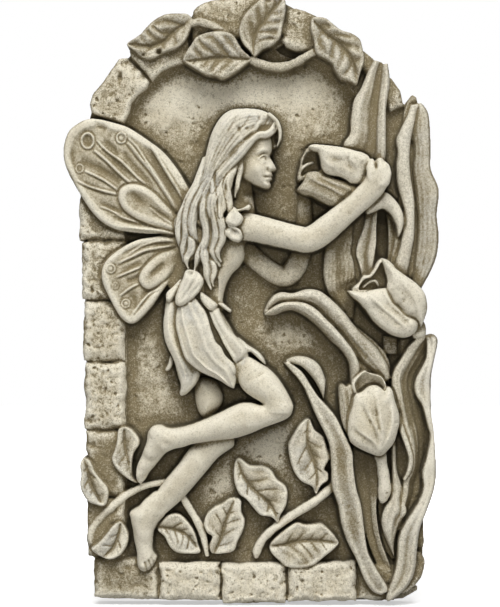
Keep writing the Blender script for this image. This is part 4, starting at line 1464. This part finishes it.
# The studio
# A pale floor just under the plaque, an even white surround, a broad soft light from above, a
# weak one from the front and one behind.
FLOOR_REACH = 3
FLOOR_TOP = low[2] - 0.001
floor = box("floor", (-FLOOR_REACH, -FLOOR_REACH, FLOOR_TOP - 0.02), (FLOOR_REACH, FLOOR_REACH, FLOOR_TOP))
floor_paint = bpy.data.materials.new("pale_floor")
floor_paint.use_nodes = True
paint = floor_paint.node_tree
matt = paint.nodes["Principled BSDF"]
matt.inputs["Roughness"].default_value = 0.9
seen = paint.nodes.new('ShaderNodeLightPath')
floor_place = paint.nodes.new('ShaderNodeTexCoord')
away = paint.nodes.new('ShaderNodeVectorMath')
away.operation = 'LENGTH'
paint.links.new(floor_place.outputs["Object"], away.inputs[0])
brighter = paint.nodes.new('ShaderNodeMapRange')
brighter.inputs["From Min"].default_value = 0.2
brighter.inputs["From Max"].default_value = 0.6
brighter.inputs["To Min"].default_value = 0.5
paint.links.new(away.outputs["Value"], brighter.inputs["Value"])
glow = paint.nodes.new('ShaderNodeMath')
glow.operation = 'MULTIPLY'
paint.links.new(seen.outputs["Is Camera Ray"], glow.inputs[0])
paint.links.new(brighter.outputs[0], glow.inputs[1])
paint.links.new(glow.outputs[0], matt.inputs["Emission Strength"])
paleness = paint.nodes.new('ShaderNodeMapRange')
paleness.inputs["To Min"].default_value = 0.4
paleness.inputs["To Max"].default_value = 0.85
paint.links.new(seen.outputs["Is Camera Ray"], paleness.inputs["Value"])
paint.links.new(paleness.outputs[0], matt.inputs["Base Color"])
matt.inputs["Emission Color"].default_value = (1, 1, 1, 1)
floor.data.materials.append(floor_paint)
surround = bpy.data.worlds.new("surround")
surround.use_nodes = True
sky = surround.node_tree
dim = sky.nodes["Background"]
dim.inputs["Color"].default_value = (1, 1, 1, 1)
dim.inputs["Strength"].default_value = 0.2
white = sky.nodes.new('ShaderNodeBackground')
white.inputs["Color"].default_value = (1, 1, 1, 1)
ray = sky.nodes.new('ShaderNodeLightPath')
choice = sky.nodes.new('ShaderNodeMixShader')
sky.links.new(ray.outputs["Is Camera Ray"], choice.inputs["Fac"])
sky.links.new(dim.outputs[0], choice.inputs[1])
sky.links.new(white.outputs[0], choice.inputs[2])
sky.links.new(choice.outputs[0], sky.nodes["World Output"].inputs["Surface"])
bpy.context.scene.world = surround


def soft_light(name, place, size, power, aim=(0, 0, 0)):
    """A square soft light, turned towards the plaque."""
    lamp = bpy.data.lights.new(name, 'AREA')
    lamp.size = size
    lamp.energy = power
    made = bpy.data.objects.new(name, lamp)
    bpy.context.collection.objects.link(made)
    made.location = place
    made.rotation_euler = (Vector(aim) - Vector(place)).to_track_quat('-Z', 'Y').to_euler()


soft_light("overhead", (0.0, -1.9, 2.1), 1.8, 79.5)
soft_light("front", (0.0, -1.1, -0.25), 0.6, 3.7, (0, 0, -0.09))
soft_light("behind", (0.5, 1.8, 1.4), 1.5, 14)

camera = bpy.data.objects.new("camera", bpy.data.cameras.new("camera"))
camera.data.sensor_width = 36
PICTURE_WIDTH, PICTURE_HEIGHT = 500, 607
DISTANCE = 1.6
FRONT_PLANE = 0.028
camera.data.lens = 36 * (DISTANCE - FRONT_PLANE) / (PICTURE_HEIGHT * SQUARE)
camera.location = ((PICTURE_WIDTH / 2 - SHEET_CENTRE[0]) * SQUARE, -DISTANCE,
                   (SHEET_CENTRE[1] - PICTURE_HEIGHT / 2) * SQUARE)
camera.rotation_euler = (math.radians(90), 0, 0)
bpy.context.collection.objects.link(camera)
bpy.context.scene.camera = camera
bpy.context.scene.view_settings.view_transform = 'Standard'
